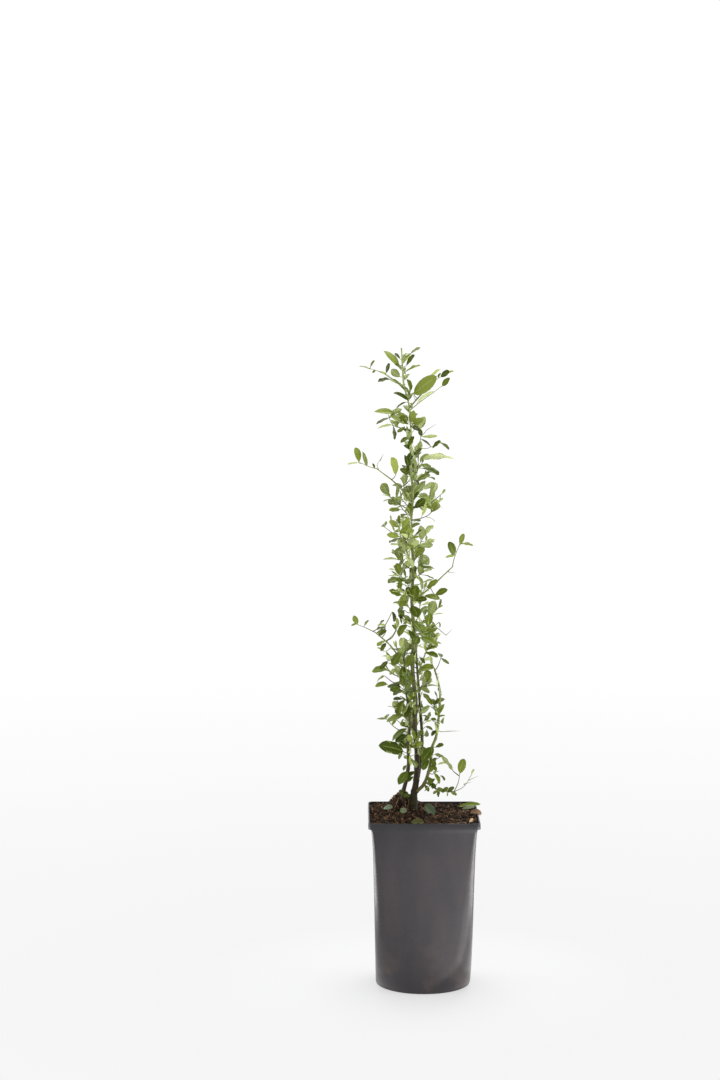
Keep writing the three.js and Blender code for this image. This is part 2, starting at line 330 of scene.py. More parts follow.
def make_pot_plastic():
    """Charcoal plastic with faint flow marks and brown dust low on the wall, and painted shade, as if from
    the rim, that darkens the wall's top towards its collar.
    """
    tree, shader = material("pot_plastic", roughness=0.32, specular=0.5)
    here = place(tree)
    height = height_of(tree, here)
    collar_foot = (POT_HEIGHT - RIM_DEPTH - 0.8) * MM
    flow = grain(tree, place(tree, (1, 1, 0.3)), 34, 5)
    plastic = ramp(tree, flow, (0.36, 45, 41, 46), (0.64, 57, 50, 53))
    # the collar's tone, to which the painted shade on the wall below it also runs
    collar = ramp(tree, flow, (0.3, 29, 27, 33), (0.7, 36, 33, 40))
    dust = ramp(tree, grain(tree, here, 60, 6, 0.7), (0.3, 72, 63, 60), (0.7, 94, 80, 71))
    patches = span(tree, grain(tree, here, 26, 5, 0.6), 0.5, 0.66)
    dusty = combine(tree, "MULTIPLY", patches, span(tree, height, 0.012, 0.085, 0.55, 0.0))
    # painted shade, as if cast by the rim: the wall's upper part darkens towards the collar's tone
    painted_rim_shade = span(tree, height, 0.168, collar_foot, 0.0, 0.8)
    wall = blend(tree, painted_rim_shade, blend(tree, dusty, plastic, dust), collar)
    at_collar = span(tree, height, collar_foot, collar_foot + MM)
    feed(shader, Roughness=span(tree, grain(tree, here, 90, 5), 0.3, 0.7, 0.25, 0.36))
    dress(shader, blend(tree, at_collar, wall, collar), grain(tree, here, 1500, 2), 0.04, 0.0002)


def make_compost():
    """Damp peat in random flecks from nearly black to warm brown: its own browns, with painted shade in the
    darkest tones and painted highlights in the palest.
    """
    tree, shader = material("compost", roughness=0.93, specular=0.25)
    here = place(tree)
    fine = grain(tree, place(tree, (1, 0.7, 1)), 230, 8, 0.82)
    # the lowest stops are painted shade and the highest painted highlights; between them lie the peat's own
    # browns
    dark = ramp(tree, fine, (0.43, 5, 4, 2), (0.51, 29, 20, 13), (0.59, 78, 56, 38), (0.72, 148, 113, 80))
    light = ramp(tree, fine, (0.41, 8, 6, 3), (0.49, 46, 33, 21), (0.56, 122, 91, 62), (0.67, 222, 180, 138))
    patches = span(tree, grain(tree, here, 60, 3, 0.6), 0.45, 0.62)
    dress(shader, blend(tree, patches, dark, light), grain(tree, here, 900, 5, 0.7), 0.9, 0.0012)


def make_plain(name, tint, roughness, specular, relief_scale, relief, depth=0.0003):
    """One of a joined piece's plain base colours, with a fine grain in its surface."""
    tree, shader = material(name, roughness, specular)
    dress(shader, colour(*tint), grain(tree, place(tree), relief_scale, 3), relief, depth)


def make_bark(name, old, old_light, young, young_light, change):
    """Bark that is brown and furrowed near the ground and smooth green above. change: the heights between.

    The leader is mossy at its foot and pale towards its tip.
    """
    tree, shader = material(name, roughness=0.7, specular=0.35)
    here = place(tree)
    height = height_of(tree, here)
    furrows = grain(tree, place(tree, (1, 1, 0.22)), 900, 6, 0.65)
    patches = grain(tree, here, 130, 4, 0.6)
    brown = ramp(tree, furrows, (0.32, *old), (0.68, *old_light))
    green = ramp(tree, patches, (0.35, *young), (0.65, *young_light))
    wander = span(tree, patches, 0.3, 0.7, -0.03, 0.03)
    bark = blend(tree, span(tree, combine(tree, "ADD", height, wander), *change), brown, green)
    if name == "bark_main":
        low = span(tree, height, 0.226, 0.272, 1.0, 0.0)
        mossy = combine(tree, "MULTIPLY", low, span(tree, patches, 0.4, 0.56))
        bark = blend(tree, mossy, bark, ramp(tree, furrows, (0.3, 26, 28, 8), (0.7, 62, 63, 20)))
        tender = ramp(tree, patches, (0.35, 172, 184, 112), (0.65, 204, 211, 150))
        bark = blend(tree, span(tree, height, 0.56, 0.69), bark, tender)
    dress(shader, bark, furrows, 0.5, 0.0004)


# Colours, dark and light, of old bark and of young, and the heights in metres between which one gives way.
BARKS = {
    "bark_main": ((28, 22, 15), (68, 55, 38), (92, 100, 48), (134, 140, 78), (0.28, 0.5)),
    "bark_dark": ((34, 27, 18), (76, 62, 42), (78, 82, 43), (112, 114, 66), (0.26, 0.4)),
    "bark_green": ((90, 84, 46), (132, 124, 76), (108, 122, 60), (150, 158, 94), (0.24, 0.34)),
}
# Plain finishes: colour, roughness, specular level, and the grain's scale, strength and, in metres, depth.
PLAIN = {
    "twig_green": ((142, 156, 88), 0.55, 0.35, 900, 0.3),
    "twig_olive": ((112, 116, 66), 0.6, 0.35, 900, 0.3),
    "twig_brown": ((92, 76, 54), 0.65, 0.3, 900, 0.4),
    "petiole": ((148, 166, 90), 0.5, 0.35, 900, 0.2),
    "thorn": ((150, 138, 98), 0.5, 0.35, 900, 0.2),
    "thorn_tip": ((96, 70, 48), 0.5, 0.35, 900, 0.2),
    "bud": ((150, 150, 84), 0.55, 0.3, 900, 0.3),
    "crumb_black": ((14, 9, 6), 0.95, 0.2, 800, 0.6, 0.0006),
    "crumb_brown": ((58, 42, 30), 0.95, 0.2, 800, 0.6, 0.0006),
    "crumb_light": ((128, 98, 70), 0.92, 0.2, 800, 0.6, 0.0006),
    "fibre_dark": ((34, 23, 16), 0.85, 0.25, 900, 0.4),
    "fibre_brown": ((84, 63, 44), 0.85, 0.25, 900, 0.4),
    "fibre_orange": ((116, 86, 60), 0.85, 0.25, 900, 0.4),
    "fibre_pink": ((166, 130, 102), 0.85, 0.25, 900, 0.4),
    "chip_brown": ((66, 49, 36), 0.85, 0.25, 900, 0.6, 0.0005),
    "chip_red": ((132, 96, 72), 0.75, 0.3, 900, 0.5, 0.0005),
    "chip_pale": ((238, 200, 152), 0.75, 0.3, 900, 0.4, 0.0005),
    "curl_brown": ((122, 94, 70), 0.8, 0.25, 900, 0.5, 0.0005),
    "rib_under": ((172, 186, 132), 0.5, 0.3, 420, 0.1),
}
# What each tone's upper face looks like: partly the leaves' own greens and partly painted light and shade, as
# the darker tones go to leaves deep in the crown. A spray deals out a few neighbours of these.
LEAF_TONES = {
    "dark": (66, 82, 14),
    "deep": (84, 101, 19),
    "mid": (104, 121, 30),
    "green": (121, 138, 46),
    "fresh": (143, 158, 64),
    "bright": (162, 177, 76),
    "pale": (188, 199, 122),
}
TONE_ORDER = list(LEAF_TONES)
UNDER_TONES = {"under_dark": (122, 136, 72), "under": (150, 163, 94), "under_pale": (178, 188, 124)}
RIB_TONE = (192, 198, 116)  # what a leaf's own tone runs over to at its midrib
LITTER_TONES = {"litter_teal": (94, 110, 80), "litter_olive": (88, 88, 34), "litter_grey": (118, 128, 92)}
# Roughness, specular level, and the grain's scale and strength.
UPPER_FACE = (0.42, 0.22, 420, 0.1)
UPPER_RIB = (0.45, 0.3, 420, 0.1)
UNDER_FACE = (0.55, 0.3, 420, 0.15)
LITTER_FACE = (0.5, 0.35, 420, 0.2)


def make_materials():
    make_pot_plastic()
    make_compost()
    for name, look in BARKS.items():
        make_bark(name, *look)
    for name, look in PLAIN.items():
        make_plain(name, *look)
    for tones, face in ((LEAF_TONES, UPPER_FACE), (UNDER_TONES, UNDER_FACE), (LITTER_TONES, LITTER_FACE)):
        for name, tint in tones.items():
            make_plain(f"leaf_{name}", tint, *face)
    for name, tint in LEAF_TONES.items():
        rib = [0.6 * own + 0.4 * pale for own, pale in zip(tint, RIB_TONE)]
        make_plain(f"rib_{name}", rib, *UPPER_RIB)


# ---- the pot ----
CORNER_STEPS = 14
SIDE_STEPS = 8
WALL_ROWS = 44
INNER_ROWS = 12
RECESS = 1.2  # in the underside, within a flat tread
TREAD_INSIDE = 50
FOOT_ROUND = 1.6
FILLET = 0.9
EDGE_ROUND = 0.6
RIM_ROUND = 0.8
LEDGE_ROUND = 1.2
COLLAR_INSET = 0.2  # the collar leans in a little towards its top
RECESS_RINGS = (6, 24, 40, TREAD_INSIDE - 1.5)
FLOOR_RING = 30


def rounded_square(half, corner, z):
    """A ring round a square with rounded corners. A nearly full-round corner keeps a sliver of flat side."""
    corner = min(corner, 0.985 * half)
    flat = half - corner
    ring = []
    for quarter in range(4):
        turn = rotation(quarter * math.pi / 2, "Z")
        for i in range(CORNER_STEPS + 1):
            angle = math.pi / 2 * i / CORNER_STEPS
            ring.append(turn @ Vector((flat + corner * math.cos(angle), flat + corner * math.sin(angle), z)))
        for i in range(1, SIDE_STEPS):
            ring.append(turn @ Vector((flat - 2 * flat * i / SIDE_STEPS, half, z)))
    return ring


def wall_size(z):
    """Half the wall's width at a height, and its corner radius there."""
    share = min(1, z / (POT_HEIGHT - RIM_DEPTH))
    half = POT_FOOT_RADIUS + WALL_TAPER * share + COLLAR_FLARE * share ** COLLAR_BEND
    to_round = POT_FOOT_RADIUS - POT_TOP_CORNER - CORNER_TAPER
    corner = POT_TOP_CORNER + CORNER_TAPER * (1 - share) + to_round * (1 - share) ** FOOT_BEND
    return half, corner


def pot_outline(z, inward=0):
    half, corner = wall_size(z)
    return rounded_square(half - inward, corner - inward, z)


def rim_ring(reach, z):
    """A ring of the collar, whose corners keep one middle."""
    return rounded_square(reach, RIM_CORNER - (RIM_HALF - reach), z)


def arc(count, start, end):
    """Cosines and sines of evenly spaced angles from start to end, which are in degrees."""
    for i in range(count):
        angle = math.radians(start + (end - start) * i / (count - 1))
        yield math.cos(angle), math.sin(angle)


def make_pot():
    """The shell in rings: the underside, up the wall, over the rim, and down inside to the floor."""
    pot = Builder()
    under_rim = POT_HEIGHT - RIM_DEPTH
    mouth = RIM_HALF - RIM_LIP
    rings = []
    for radius in RECESS_RINGS:
        rings.append(rounded_square(radius, radius, RECESS))
    rings.append(rounded_square(TREAD_INSIDE, TREAD_INSIDE, 0))
    for out, up in arc(5, -90, 0):
        reach = POT_FOOT_RADIUS - FOOT_ROUND + FOOT_ROUND * out
        rings.append(rounded_square(reach, reach, FOOT_ROUND + FOOT_ROUND * up))
    for i in range(1, WALL_ROWS + 1):
        rings.append(pot_outline(FOOT_ROUND + (under_rim - FILLET - FOOT_ROUND) * i / WALL_ROWS))
    # the fillet, which spreads the wall's top out to the rim
    top_half, top_corner = wall_size(under_rim)
    rings.append(rounded_square(top_half + 0.5, top_corner + 0.5, under_rim - 0.2))
    rings.append(rounded_square(top_half + 1.3, top_corner + 1, under_rim))
    # the rim's lower edge, its outer and inner edges on top, and the step inside: for each the middle and the
    # height of its rounding, then the radius, the steps, and the first and last angle
    for middle, level, radius, steps, start, end in (
        (RIM_HALF - EDGE_ROUND, under_rim + EDGE_ROUND, EDGE_ROUND, 4, -90, 0),
        (RIM_HALF - COLLAR_INSET - RIM_ROUND, POT_HEIGHT - RIM_ROUND, RIM_ROUND, 6, 0, 90),
        (mouth + EDGE_ROUND, POT_HEIGHT - EDGE_ROUND, EDGE_ROUND, 5, 90, 180),
        (mouth - LEDGE_ROUND, LEDGE_Z + LEDGE_ROUND, LEDGE_ROUND, 4, 0, -90),
    ):
        for out, up in arc(steps, start, end):
            rings.append(rim_ring(middle + radius * out, level + radius * up))
    for i in range(INNER_ROWS + 1):
        rings.append(pot_outline(LEDGE_Z - (LEDGE_Z - POT_FLOOR) * i / INNER_ROWS, POT_WALL))
    rings.append(rounded_square(FLOOR_RING, FLOOR_RING, POT_FLOOR))
    pot.add([p for ring in rings for p in ring], ring_faces(len(rings), len(rings[0])), "pot_plastic")
    pot.piece("pot_shell", "pot_plastic", ["pot"])


# ---- the compost ----
def soil_height(x, y):
    """The compost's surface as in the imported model."""
    away = (x - MOUND_X) ** 2 + (y - MOUND_Y) ** 2
    mound = MOUND_HEIGHT * math.exp(-away / (2 * MOUND_SPREAD ** 2))
    lumps = math.sin(x * 0.21 + 1.3) * math.cos(y * 0.17 - 0.4) + 0.6 * math.sin(x * 0.11 - y * 0.27)
    return SOIL_LEVEL + SOIL_TILT * y + mound + SOIL_LUMP * lumps


GROUND_LOWEST = LEDGE_Z + 0.7  # it hides the step all round
CLODS = ((0.2, 4.4), (0.5, 3.2), (1.1, 1.6))  # lumps to the millimetre, and how far they stand out
CLOD_WANDER = 2.2
GUTTER, GUTTER_REACH = 1.8, 3
HOLLOW_X, HOLLOW_Y, HOLLOW_DEPTH = -10, -12, 5
HOLLOW_WIDTH, HOLLOW_LENGTH = 7, 8  # its spread along x and along y


def ground(x, y):
    """The surface that shows: clods, a ragged gutter along the wall, and a hollow before the trunk."""
    wander = CLOD_WANDER * noise.noise((x * 0.16, y * 0.16, 3.1))
    rough = 0
    for scale, height in CLODS:
        near = noise.voronoi(((x + wander) * scale, (y - wander) * scale, 5 * scale))[0][0]
        rough += height * (0.42 - near)
    to_wall = RIM_HALF - RIM_LIP - max(abs(x), abs(y))
    back = min(1, max(0, (y - 15) / 40))
    ragged = 0.7 + 0.6 * noise.noise((x * 0.1, y * 0.1, 9.0))
    gutter = (GUTTER - 1.4 * back) * math.exp(-max(to_wall, 0) / GUTTER_REACH) * ragged
    aside = (x - HOLLOW_X) ** 2 / (2 * HOLLOW_WIDTH ** 2)
    ahead = (y - HOLLOW_Y) ** 2 / (2 * HOLLOW_LENGTH ** 2)
    hollow = HOLLOW_DEPTH * math.exp(-(aside + ahead))
    return max(GROUND_LOWEST, soil_height(x, y) + rough + 0.9 * back - gutter - hollow)


def towards_edge(half, corner, x, y):
    """Where the ray from the middle through a point of the unit square's edge meets a rounded square."""
    flat = half - corner
    if min(abs(x), abs(y)) * half <= flat:
        return half * x, half * y
    both, square = abs(x) + abs(y), x * x + y * y
    reach = (flat * both + math.sqrt((flat * both) ** 2 - square * (2 * flat ** 2 - corner ** 2))) / square
    return reach * x, reach * y


BED_CELLS = 66  # from the middle to the edge, so that a cell is about a millimetre
BED_RINGS = (150, 80, 20)  # the heights of the root ball's rings between its top and its foot


def make_compost_bed():
    """The compost's top is a fine square net, drawn in at the corners, and its sides are coarse."""
    bed = Builder()
    half = RIM_HALF - RIM_LIP - GAP
    corner = RIM_CORNER - RIM_LIP - GAP
    side = range(-BED_CELLS, BED_CELLS + 1)
    width = len(side)
    points = []
    for row in side:
        for column in side:
            out = max(abs(row), abs(column), 1)
            x, y = towards_edge(half, corner, column / out, row / out)
            x, y = x * out / BED_CELLS, y * out / BED_CELLS
            if row == column == 0:
                x = y = 0
            points.append((x, y, ground(x, y)))
    faces = [(a, d, c, b) for a, b, c, d in net_faces(width, width)]
    # the net's border, counted round, and the rings that hang from it
    last = width - 1
    border = [(0, j) for j in range(last)] + [(i, last) for i in range(last)]
    border += [(last - i, last - j) for i, j in border]
    ring = [i * width + j for i, j in border]
    count = len(ring)
    step = LEDGE_Z + GAP
    inward = POT_WALL + GAP
    levels = [(half, corner, step)]
    for z in (step, *BED_RINGS, POT_FLOOR + GAP):
        wall_half, wall_corner = wall_size(z)
        levels.append((wall_half - inward, wall_corner - inward, z))
    for level_half, level_corner, z in levels:
        below = []
        for i, j in border:
            x, y = towards_edge(level_half, level_corner, j / BED_CELLS - 1, i / BED_CELLS - 1)
            below.append(len(points))
            points.append((x, y, z))
        faces += [(ring[k], below[k], below[(k + 1) % count], ring[(k + 1) % count]) for k in range(count)]
        ring = below
    faces.append(tuple(reversed(ring)))
    bed.add(points, faces, "compost")
    bed.piece("compost_bed", "compost", ["compost"])


# The corners of a regular solid with twenty faces, for crumbs.
GOLDEN = (1 + 5 ** 0.5) / 2
CRUMB_POINTS = [
    Vector(corner[-shift:] + corner[:-shift]).normalized()
    for shift in range(3)
    for corner in ((-1, GOLDEN, 0), (1, GOLDEN, 0), (-1, -GOLDEN, 0), (1, -GOLDEN, 0))
]
CRUMB_FACES = [
    (0, 11, 5), (0, 5, 1), (0, 1, 7), (0, 7, 10), (0, 10, 11), (1, 5, 9), (5, 11, 4), (11, 10, 2), (10, 7, 6),
    (7, 1, 8), (3, 9, 4), (3, 4, 2), (3, 2, 6), (3, 6, 8), (3, 8, 9), (4, 9, 5), (2, 4, 11), (6, 2, 10),
    (8, 6, 7), (9, 8, 1),
]
SOIL_REACH = RIM_HALF - RIM_LIP - 3.5  # how near the wall the loose bits come
ON_MOUND = 0.35  # the share of them that is strewn over the mound
CRUMBS = 450
CRUMB_SIZES = (0.6, 0.8, 1, 1.2, 1.5, 1.9)
CRUMB_FINISHES = ("crumb_black", "crumb_black", "crumb_brown", "crumb_brown", "crumb_light")
# Bold fibres and fine ones: how many, their lengths, thicknesses and finishes.
FIBRES = [
    (90, (8, 19), (0.35, 0.6), ("fibre_orange", "fibre_pink")),
    (1100, (4, 13), (0.2, 0.5), ("fibre_dark", "fibre_dark", "fibre_brown", "fibre_orange")),
]
FIBRE_STEPS = 6
CHIPS = 80
CHIP_FINISHES = ("chip_brown", "chip_brown", "chip_brown", "chip_red")
PALE_CHIP = (58.5, -36)  # one that stands out near the front right corner


def soil_spot(dice):
    """A place on the compost, more often on the mound than elsewhere, and clear of the rounded corners."""
    while True:
        if dice.random() < ON_MOUND:
            x, y = MOUND_X + dice.gauss(0, MOUND_SPREAD), MOUND_Y + dice.gauss(0, MOUND_SPREAD)
        else:
            x, y = dice.uniform(-SOIL_REACH, SOIL_REACH), dice.uniform(-SOIL_REACH, SOIL_REACH)
        past_x, past_y = (max(0, abs(v) - SOIL_REACH + RIM_CORNER) for v in (x, y))
        if math.hypot(past_x, past_y) < RIM_CORNER:
            return x, y


def turned(dice):
    """A random rotation."""
    axis = Vector((dice.gauss(0, 1), dice.gauss(0, 1), dice.gauss(0, 1))).normalized()
    return rotation(dice.uniform(0, math.pi), axis)


def make_crumbs():
    """Crumbs are flattened, uneven solids with twenty faces."""
    dice = random.Random(31)
    crumbs = Builder()
    for _ in range(CRUMBS):
        x, y = soil_spot(dice)
        size = dice.choice(CRUMB_SIZES) * dice.uniform(0.8, 1.2)
        middle = Vector((x, y, ground(x, y) + 0.25 * size))
        spin = turned(dice)
        shape = [
            middle + spin @ Vector((p.x * 1.3, p.y, p.z * 0.75)) * (size * dice.uniform(0.75, 1.2))
            for p in CRUMB_POINTS
        ]
        crumbs.add(shape, CRUMB_FACES, dice.choice(CRUMB_FINISHES))
    crumbs.piece("compost_crumbs", "compost", smooth=False)


def make_fibres():
    """Each fibre follows the ground along a bent path, and thins towards its end."""
    dice = random.Random(47)
    fibres = Builder()
    for count, lengths, thicknesses, finishes in FIBRES:
        for _ in range(count):
            x, y = soil_spot(dice)
            step = dice.uniform(*lengths) / FIBRE_STEPS
            heading = dice.uniform(0, 2 * math.pi)
            bend = dice.uniform(-0.5, 0.5)
            line = []
            for _ in range(FIBRE_STEPS):
                line.append(Vector((x, y, ground(x, y) + dice.uniform(0.2, 1.3))))
                x = max(-SOIL_REACH, min(SOIL_REACH, x + step * math.cos(heading)))
                y = max(-SOIL_REACH, min(SOIL_REACH, y + step * math.sin(heading)))
                heading += bend
            if (line[-1] - line[0]).length < 2:
                continue
            thick = dice.uniform(*thicknesses)
            radii = [thick * (1 - 0.6 * i / FIBRE_STEPS) for i in range(FIBRE_STEPS)]
            tube(fibres, line, radii, 4, dice.choice(finishes))
    fibres.piece("compost_fibres", "compost")


def chip(builder, middle, spin, size, finish, dice):
    """A thin splinter of bark with a ragged outline."""
    long, wide, thick = size
    corners = 7
    jitter = [dice.uniform(0.75, 1.15) for _ in range(corners)]
    points = []
    for level, reach in ((-0.5, 1), (0.5, 0.9)):
        for i in range(corners):
            turn = 2 * math.pi * i / corners
            p = Vector((long / 2 * math.cos(turn), wide / 2 * math.sin(turn), thick * level)) * reach
            points.append(middle + spin @ (p * jitter[i]))
    builder.add(points, ring_faces(2, corners), finish)


def make_chips():
    dice = random.Random(53)
    chips = Builder()
    for _ in range(CHIPS):
        x, y = soil_spot(dice)
        size = (dice.uniform(2.5, 7), dice.uniform(1.2, 3), dice.uniform(0.5, 1.1))
        tilt = rotation(dice.uniform(-0.6, 0.6), "X") @ rotation(dice.uniform(-0.5, 0.5), "Y")
        spin = rotation(dice.uniform(0, math.pi), "Z") @ tilt
        middle = Vector((x, y, ground(x, y) + 0.5))
        chip(chips, middle, spin, size, dice.choice(CHIP_FINISHES), dice)
    middle = Vector((*PALE_CHIP, ground(*PALE_CHIP) + 2.8))
    chip(chips, middle, rotation(0.8, "Z") @ rotation(-0.9, "Y"), (9, 6, 1.2), "chip_pale", dice)
    chips.piece("compost_chips", "compost", smooth=False)


# ---- leaves ----
LEAF_ROWS = 13
LEAF_COLUMNS = (-1, -0.55, -0.1, 0, 0.1, 0.55, 1)
VEIN_SWEEP = 0.24  # how far the side veins lean towards the tip
VEIN_RELIEF = 0.1
MIDRIB_DEPTH = 0.16
TEETH = 0.018  # of the leaf's half width
LEAF_THICKNESS = 0.3


def leaf_faces():
    """The faces of the upper and of the lower sheet, and which of them lie on the midrib."""
    width = len(LEAF_COLUMNS)
    upper = net_faces(LEAF_ROWS, width)
    on_rib = []
    for k in range(len(upper)):
        row, column = divmod(k, width - 1)
        on_rib.append(column in (2, 3) and row < LEAF_ROWS - 3)
    return upper, backs(upper, LEAF_ROWS * width), on_rib


LEAF_UPPER, LEAF_LOWER, ON_RIB = leaf_faces()


def leaf_sheets(length, width, bow, fold, curl, twist, wedge, blunt, wave):
    """Both sheets of a leaf in its own frame: x from base to tip, y across and z out of the upper face.

    wedge: how long the base tapers. blunt: how pointed the tip is, round at a half.
    """
    share = np.linspace(0, 1, LEAF_ROWS)[:, None]
    side = np.array(LEAF_COLUMNS)[None, :]
    out = np.abs(side)
    ridge = (1 - 2 * (np.arange(LEAF_ROWS) % 2))[:, None]
    widest = wedge / (wedge + blunt)
    half = 0.5 * width * (share / widest) ** wedge * ((1 - share) / (1 - widest)) ** blunt
    half = np.maximum(half, np.where(share < 0.5, 0.3, 0.12)) * (1 + TEETH * ridge * out)
    x = share + VEIN_SWEEP * out * share * (1 - share)
    y = half * side
    z = half * (fold * out - curl * out ** 2)
    z = z + VEIN_RELIEF * ridge * 4 * out * (1 - out) * np.sin(np.pi * share)
    z = z + wave * half * out ** 3 * np.sin(2 * np.pi * (2.2 * share + 0.3 * np.sign(side)))
    z = z - MIDRIB_DEPTH * (out < 0.05)
    thick = 0.5 * LEAF_THICKNESS * (1 - out ** 2)
    turn = twist * (share - 0.3)
    lean = bow / 2
    arched = length * lean / math.sin(lean)
    bend = bow * x
    sheets = []
    for offset in (thick, -thick):
        level = z + offset
        aside = y * np.cos(turn) - level * np.sin(turn)
        lift = y * np.sin(turn) + level * np.cos(turn)
        along = arched * np.sin(bend) / bow + lift * np.sin(bend)
        high = -arched * (1 - np.cos(bend)) / bow + lift * np.cos(bend)
        ahead = along * math.cos(lean) - high * math.sin(lean)
        above = along * math.sin(lean) + high * math.cos(lean)
        sheets.append(np.stack([ahead, aside, above], -1).reshape(-1, 3))
    return np.concatenate(sheets)


def add_leaf(builder, base, tip, normal, width, tone, under, dice):
    """A leaf from base to tip, with its upper face turned towards the normal."""
    ahead = tip - base
    length = ahead.length
    ex = ahead.normalized()
    ez = (normal - ex * normal.dot(ex)).normalized()
    ey = ez.cross(ex)
    shape = leaf_sheets(
        length, width,
        bow=dice.uniform(0.15, 0.75),
        fold=dice.uniform(0.12, 0.5),
        curl=dice.uniform(0.05, 0.3),
        twist=dice.uniform(-0.5, 0.5),
        wedge=dice.uniform(0.54, 0.74),
        blunt=dice.uniform(0.6, 0.82),
        wave=dice.uniform(0, 0.12),
    )
    points = np.array(base) + shape @ np.array([ex, ey, ez])
    upper = [f"rib_{tone}" if rib else f"leaf_{tone}" for rib in ON_RIB]
    lower = ["rib_under" if rib else f"leaf_{under}" for rib in ON_RIB]
    builder.add(points.tolist(), LEAF_UPPER + LEAF_LOWER, upper + lower)


# ---- the plant ----
class Plant:
    """The limbs and all that grows on them. Each leaf goes to the mass of foliage that it lies in."""

    def __init__(self):
        self.leaves = {name: Builder() for name in MASSES}
        self.twigs = Builder()
        self.thorns = Builder()
        self.buds = Builder()
        self.boxes = {name: [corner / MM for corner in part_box(name)] for name in MASSES}
        self.lines = {}  # each limb's and twig's points, by its name
        self.radii = {}  # the radii at a limb's points
        self.middles = []  # where leaves are, so that no two share one place

    def mass_at(self, point):
        """The mass whose box is nearest to a point, and by its middle where several hold it."""
        def distance(name):
            low, high = self.boxes[name]
            outside = Vector([max(lo - p, 0, p - hi) for lo, p, hi in zip(low, point, high)])
            return (outside.length, (point - (low + high) / 2).length)
        return min(self.boxes, key=distance)

    def nearest(self, cost):
        """The point on a limb or twig, its tip left out, for which a cost is least."""
        return min((point for line in self.lines.values() for point in line[:-1]), key=cost)

    def root_seen(self, x, z):
        """The point that a leaf seen at x and z would grow from, a little below it, and how far aside."""
        root = self.nearest(lambda p: math.hypot(p.x - x, p.z + 0.4 * abs(p.x - x) - z))
        return root, math.hypot(root.x - x, root.z - z)

    def twig(self, line, thick, thin, finish, sides=6):
        """A twig round a line. thick and thin: its diameters at the root and at the tip."""
        placed, _ = shares(line)
        tube(self.twigs, line, [(thick + (thin - thick) * s) / 2 for s in placed], sides, finish)

    def leaf(self, base, tip, normal, width, tone, dice, room=0.0, under=None):
        """A leaf on its petiole's end, unless another already fills its place. Returns whether it grew."""
        middle = base.lerp(tip, 0.5)
        if room and any((middle - other).length <= room for other in self.middles):
            return False
        if room and not COLUMN_EDGES[0] < tip.x < COLUMN_EDGES[1]:
            return False
        self.middles.append(middle)
        under = under or dice.choice(tuple(UNDER_TONES))
        add_leaf(self.leaves[self.mass_at(middle)], base, tip, normal, width, tone, under, dice)
        return True

    def petiole(self, start, end, normal):
        """A short stalk that leaves its twig square to it and runs into the leaf's midrib."""
        bend = start.lerp(end, 0.5) - normal * (0.12 * (end - start).length)
        self.twig(smooth_line([start, bend, end], 2), 0.9, 0.75, "petiole", 5)

    def thorn(self, start, direction, length):
        """A nearly straight thorn with a dark point."""
        aside = across(direction)
        line = []
        for share in (0, 0.25, 0.6, 0.85, 1):
            line.append(start + direction * (length * share) + aside * (0.04 * length * share * share))
        tube(self.thorns, line[:4], [0.55, 0.42, 0.28, 0.15], 6, "thorn")
        tube(self.thorns, line[3:], [0.15, 0.03], 6, "thorn_tip")

    def bud(self, point, direction, size):
        """A bud, thickest below its middle, which ends in a point."""
        line = [point + direction * (size * s) for s in (-0.2, 0.2, 0.6, 0.9, 1.15)]
        tube(self.buds, line, [size * r for r in (0.3, 0.5, 0.46, 0.24, 0.04)], 6, "bud")

    def end_bud(self, line, size):
        """A line's tip runs into a bud."""
        self.bud(line[-1], (line[-1] - line[-2]).normalized(), size)


BARK_STEP = 1.7
BARK_RIDGES = 1.9  # the more, the closer the furrows run side by side
NODE_SPACING = 14.5  # between the swellings where leaves or thorns stood
LIMB_FINISHES = {"main_stem": "bark_main", "left_stem": "bark_dark", "back_stem": "bark_dark"}


def bark_relief(scale):
    """How far the bark stands out: long furrows, fine crumpling and, here and there, a lenticel."""
    def relief(point, outward):
        ridged = point * 0.12 + outward * BARK_RIDGES
        furrow = noise.noise(Vector((ridged.x, ridged.y, ridged.z * 0.6)))
        fine = noise.noise(point * 0.5 + outward * 4.1)
        lenticel = max(0, noise.noise(point * 0.9 + outward * 1.3) - 0.45)
        return scale * (0.13 * furrow + 0.05 * fine + 0.35 * lenticel)
    return relief


def limb_radii(line, thick, thin, flare, taper):
    """A limb's radii: they shrink towards its tip, spread at its root and swell a little at each node."""
    placed, length = shares(line)
    radii = []
    for share in placed:
        radius = (thick + (thin - thick) * share ** taper) / 2
        radius += flare * math.exp(-share * length / FLARE_REACH)
        ring = math.cos(math.pi * share * length / NODE_SPACING) ** 16
        radii.append(radius * (1 + 0.16 * ring))
    return radii


def make_limbs(plant):
    for name, (points, thick, thin, flare, taper) in LIMBS.items():
        line = smooth_line(points, BARK_STEP)
        radii = limb_radii(line, thick, thin, flare, taper)
        plant.lines[name] = line
        plant.radii[name] = radii
        bark = Builder()
        sides = 18 if name == "main_stem" else 12
        finish = LIMB_FINISHES.get(name, "bark_green")
        tube(bark, line, radii, sides, finish, bark_relief(thick * 0.2))
        plant.end_bud(line, 2.4 if name in STEMS else 1.6)
        bark.piece(f"{name}_bark", "bark" if name in STEMS else "young_bark", [name])


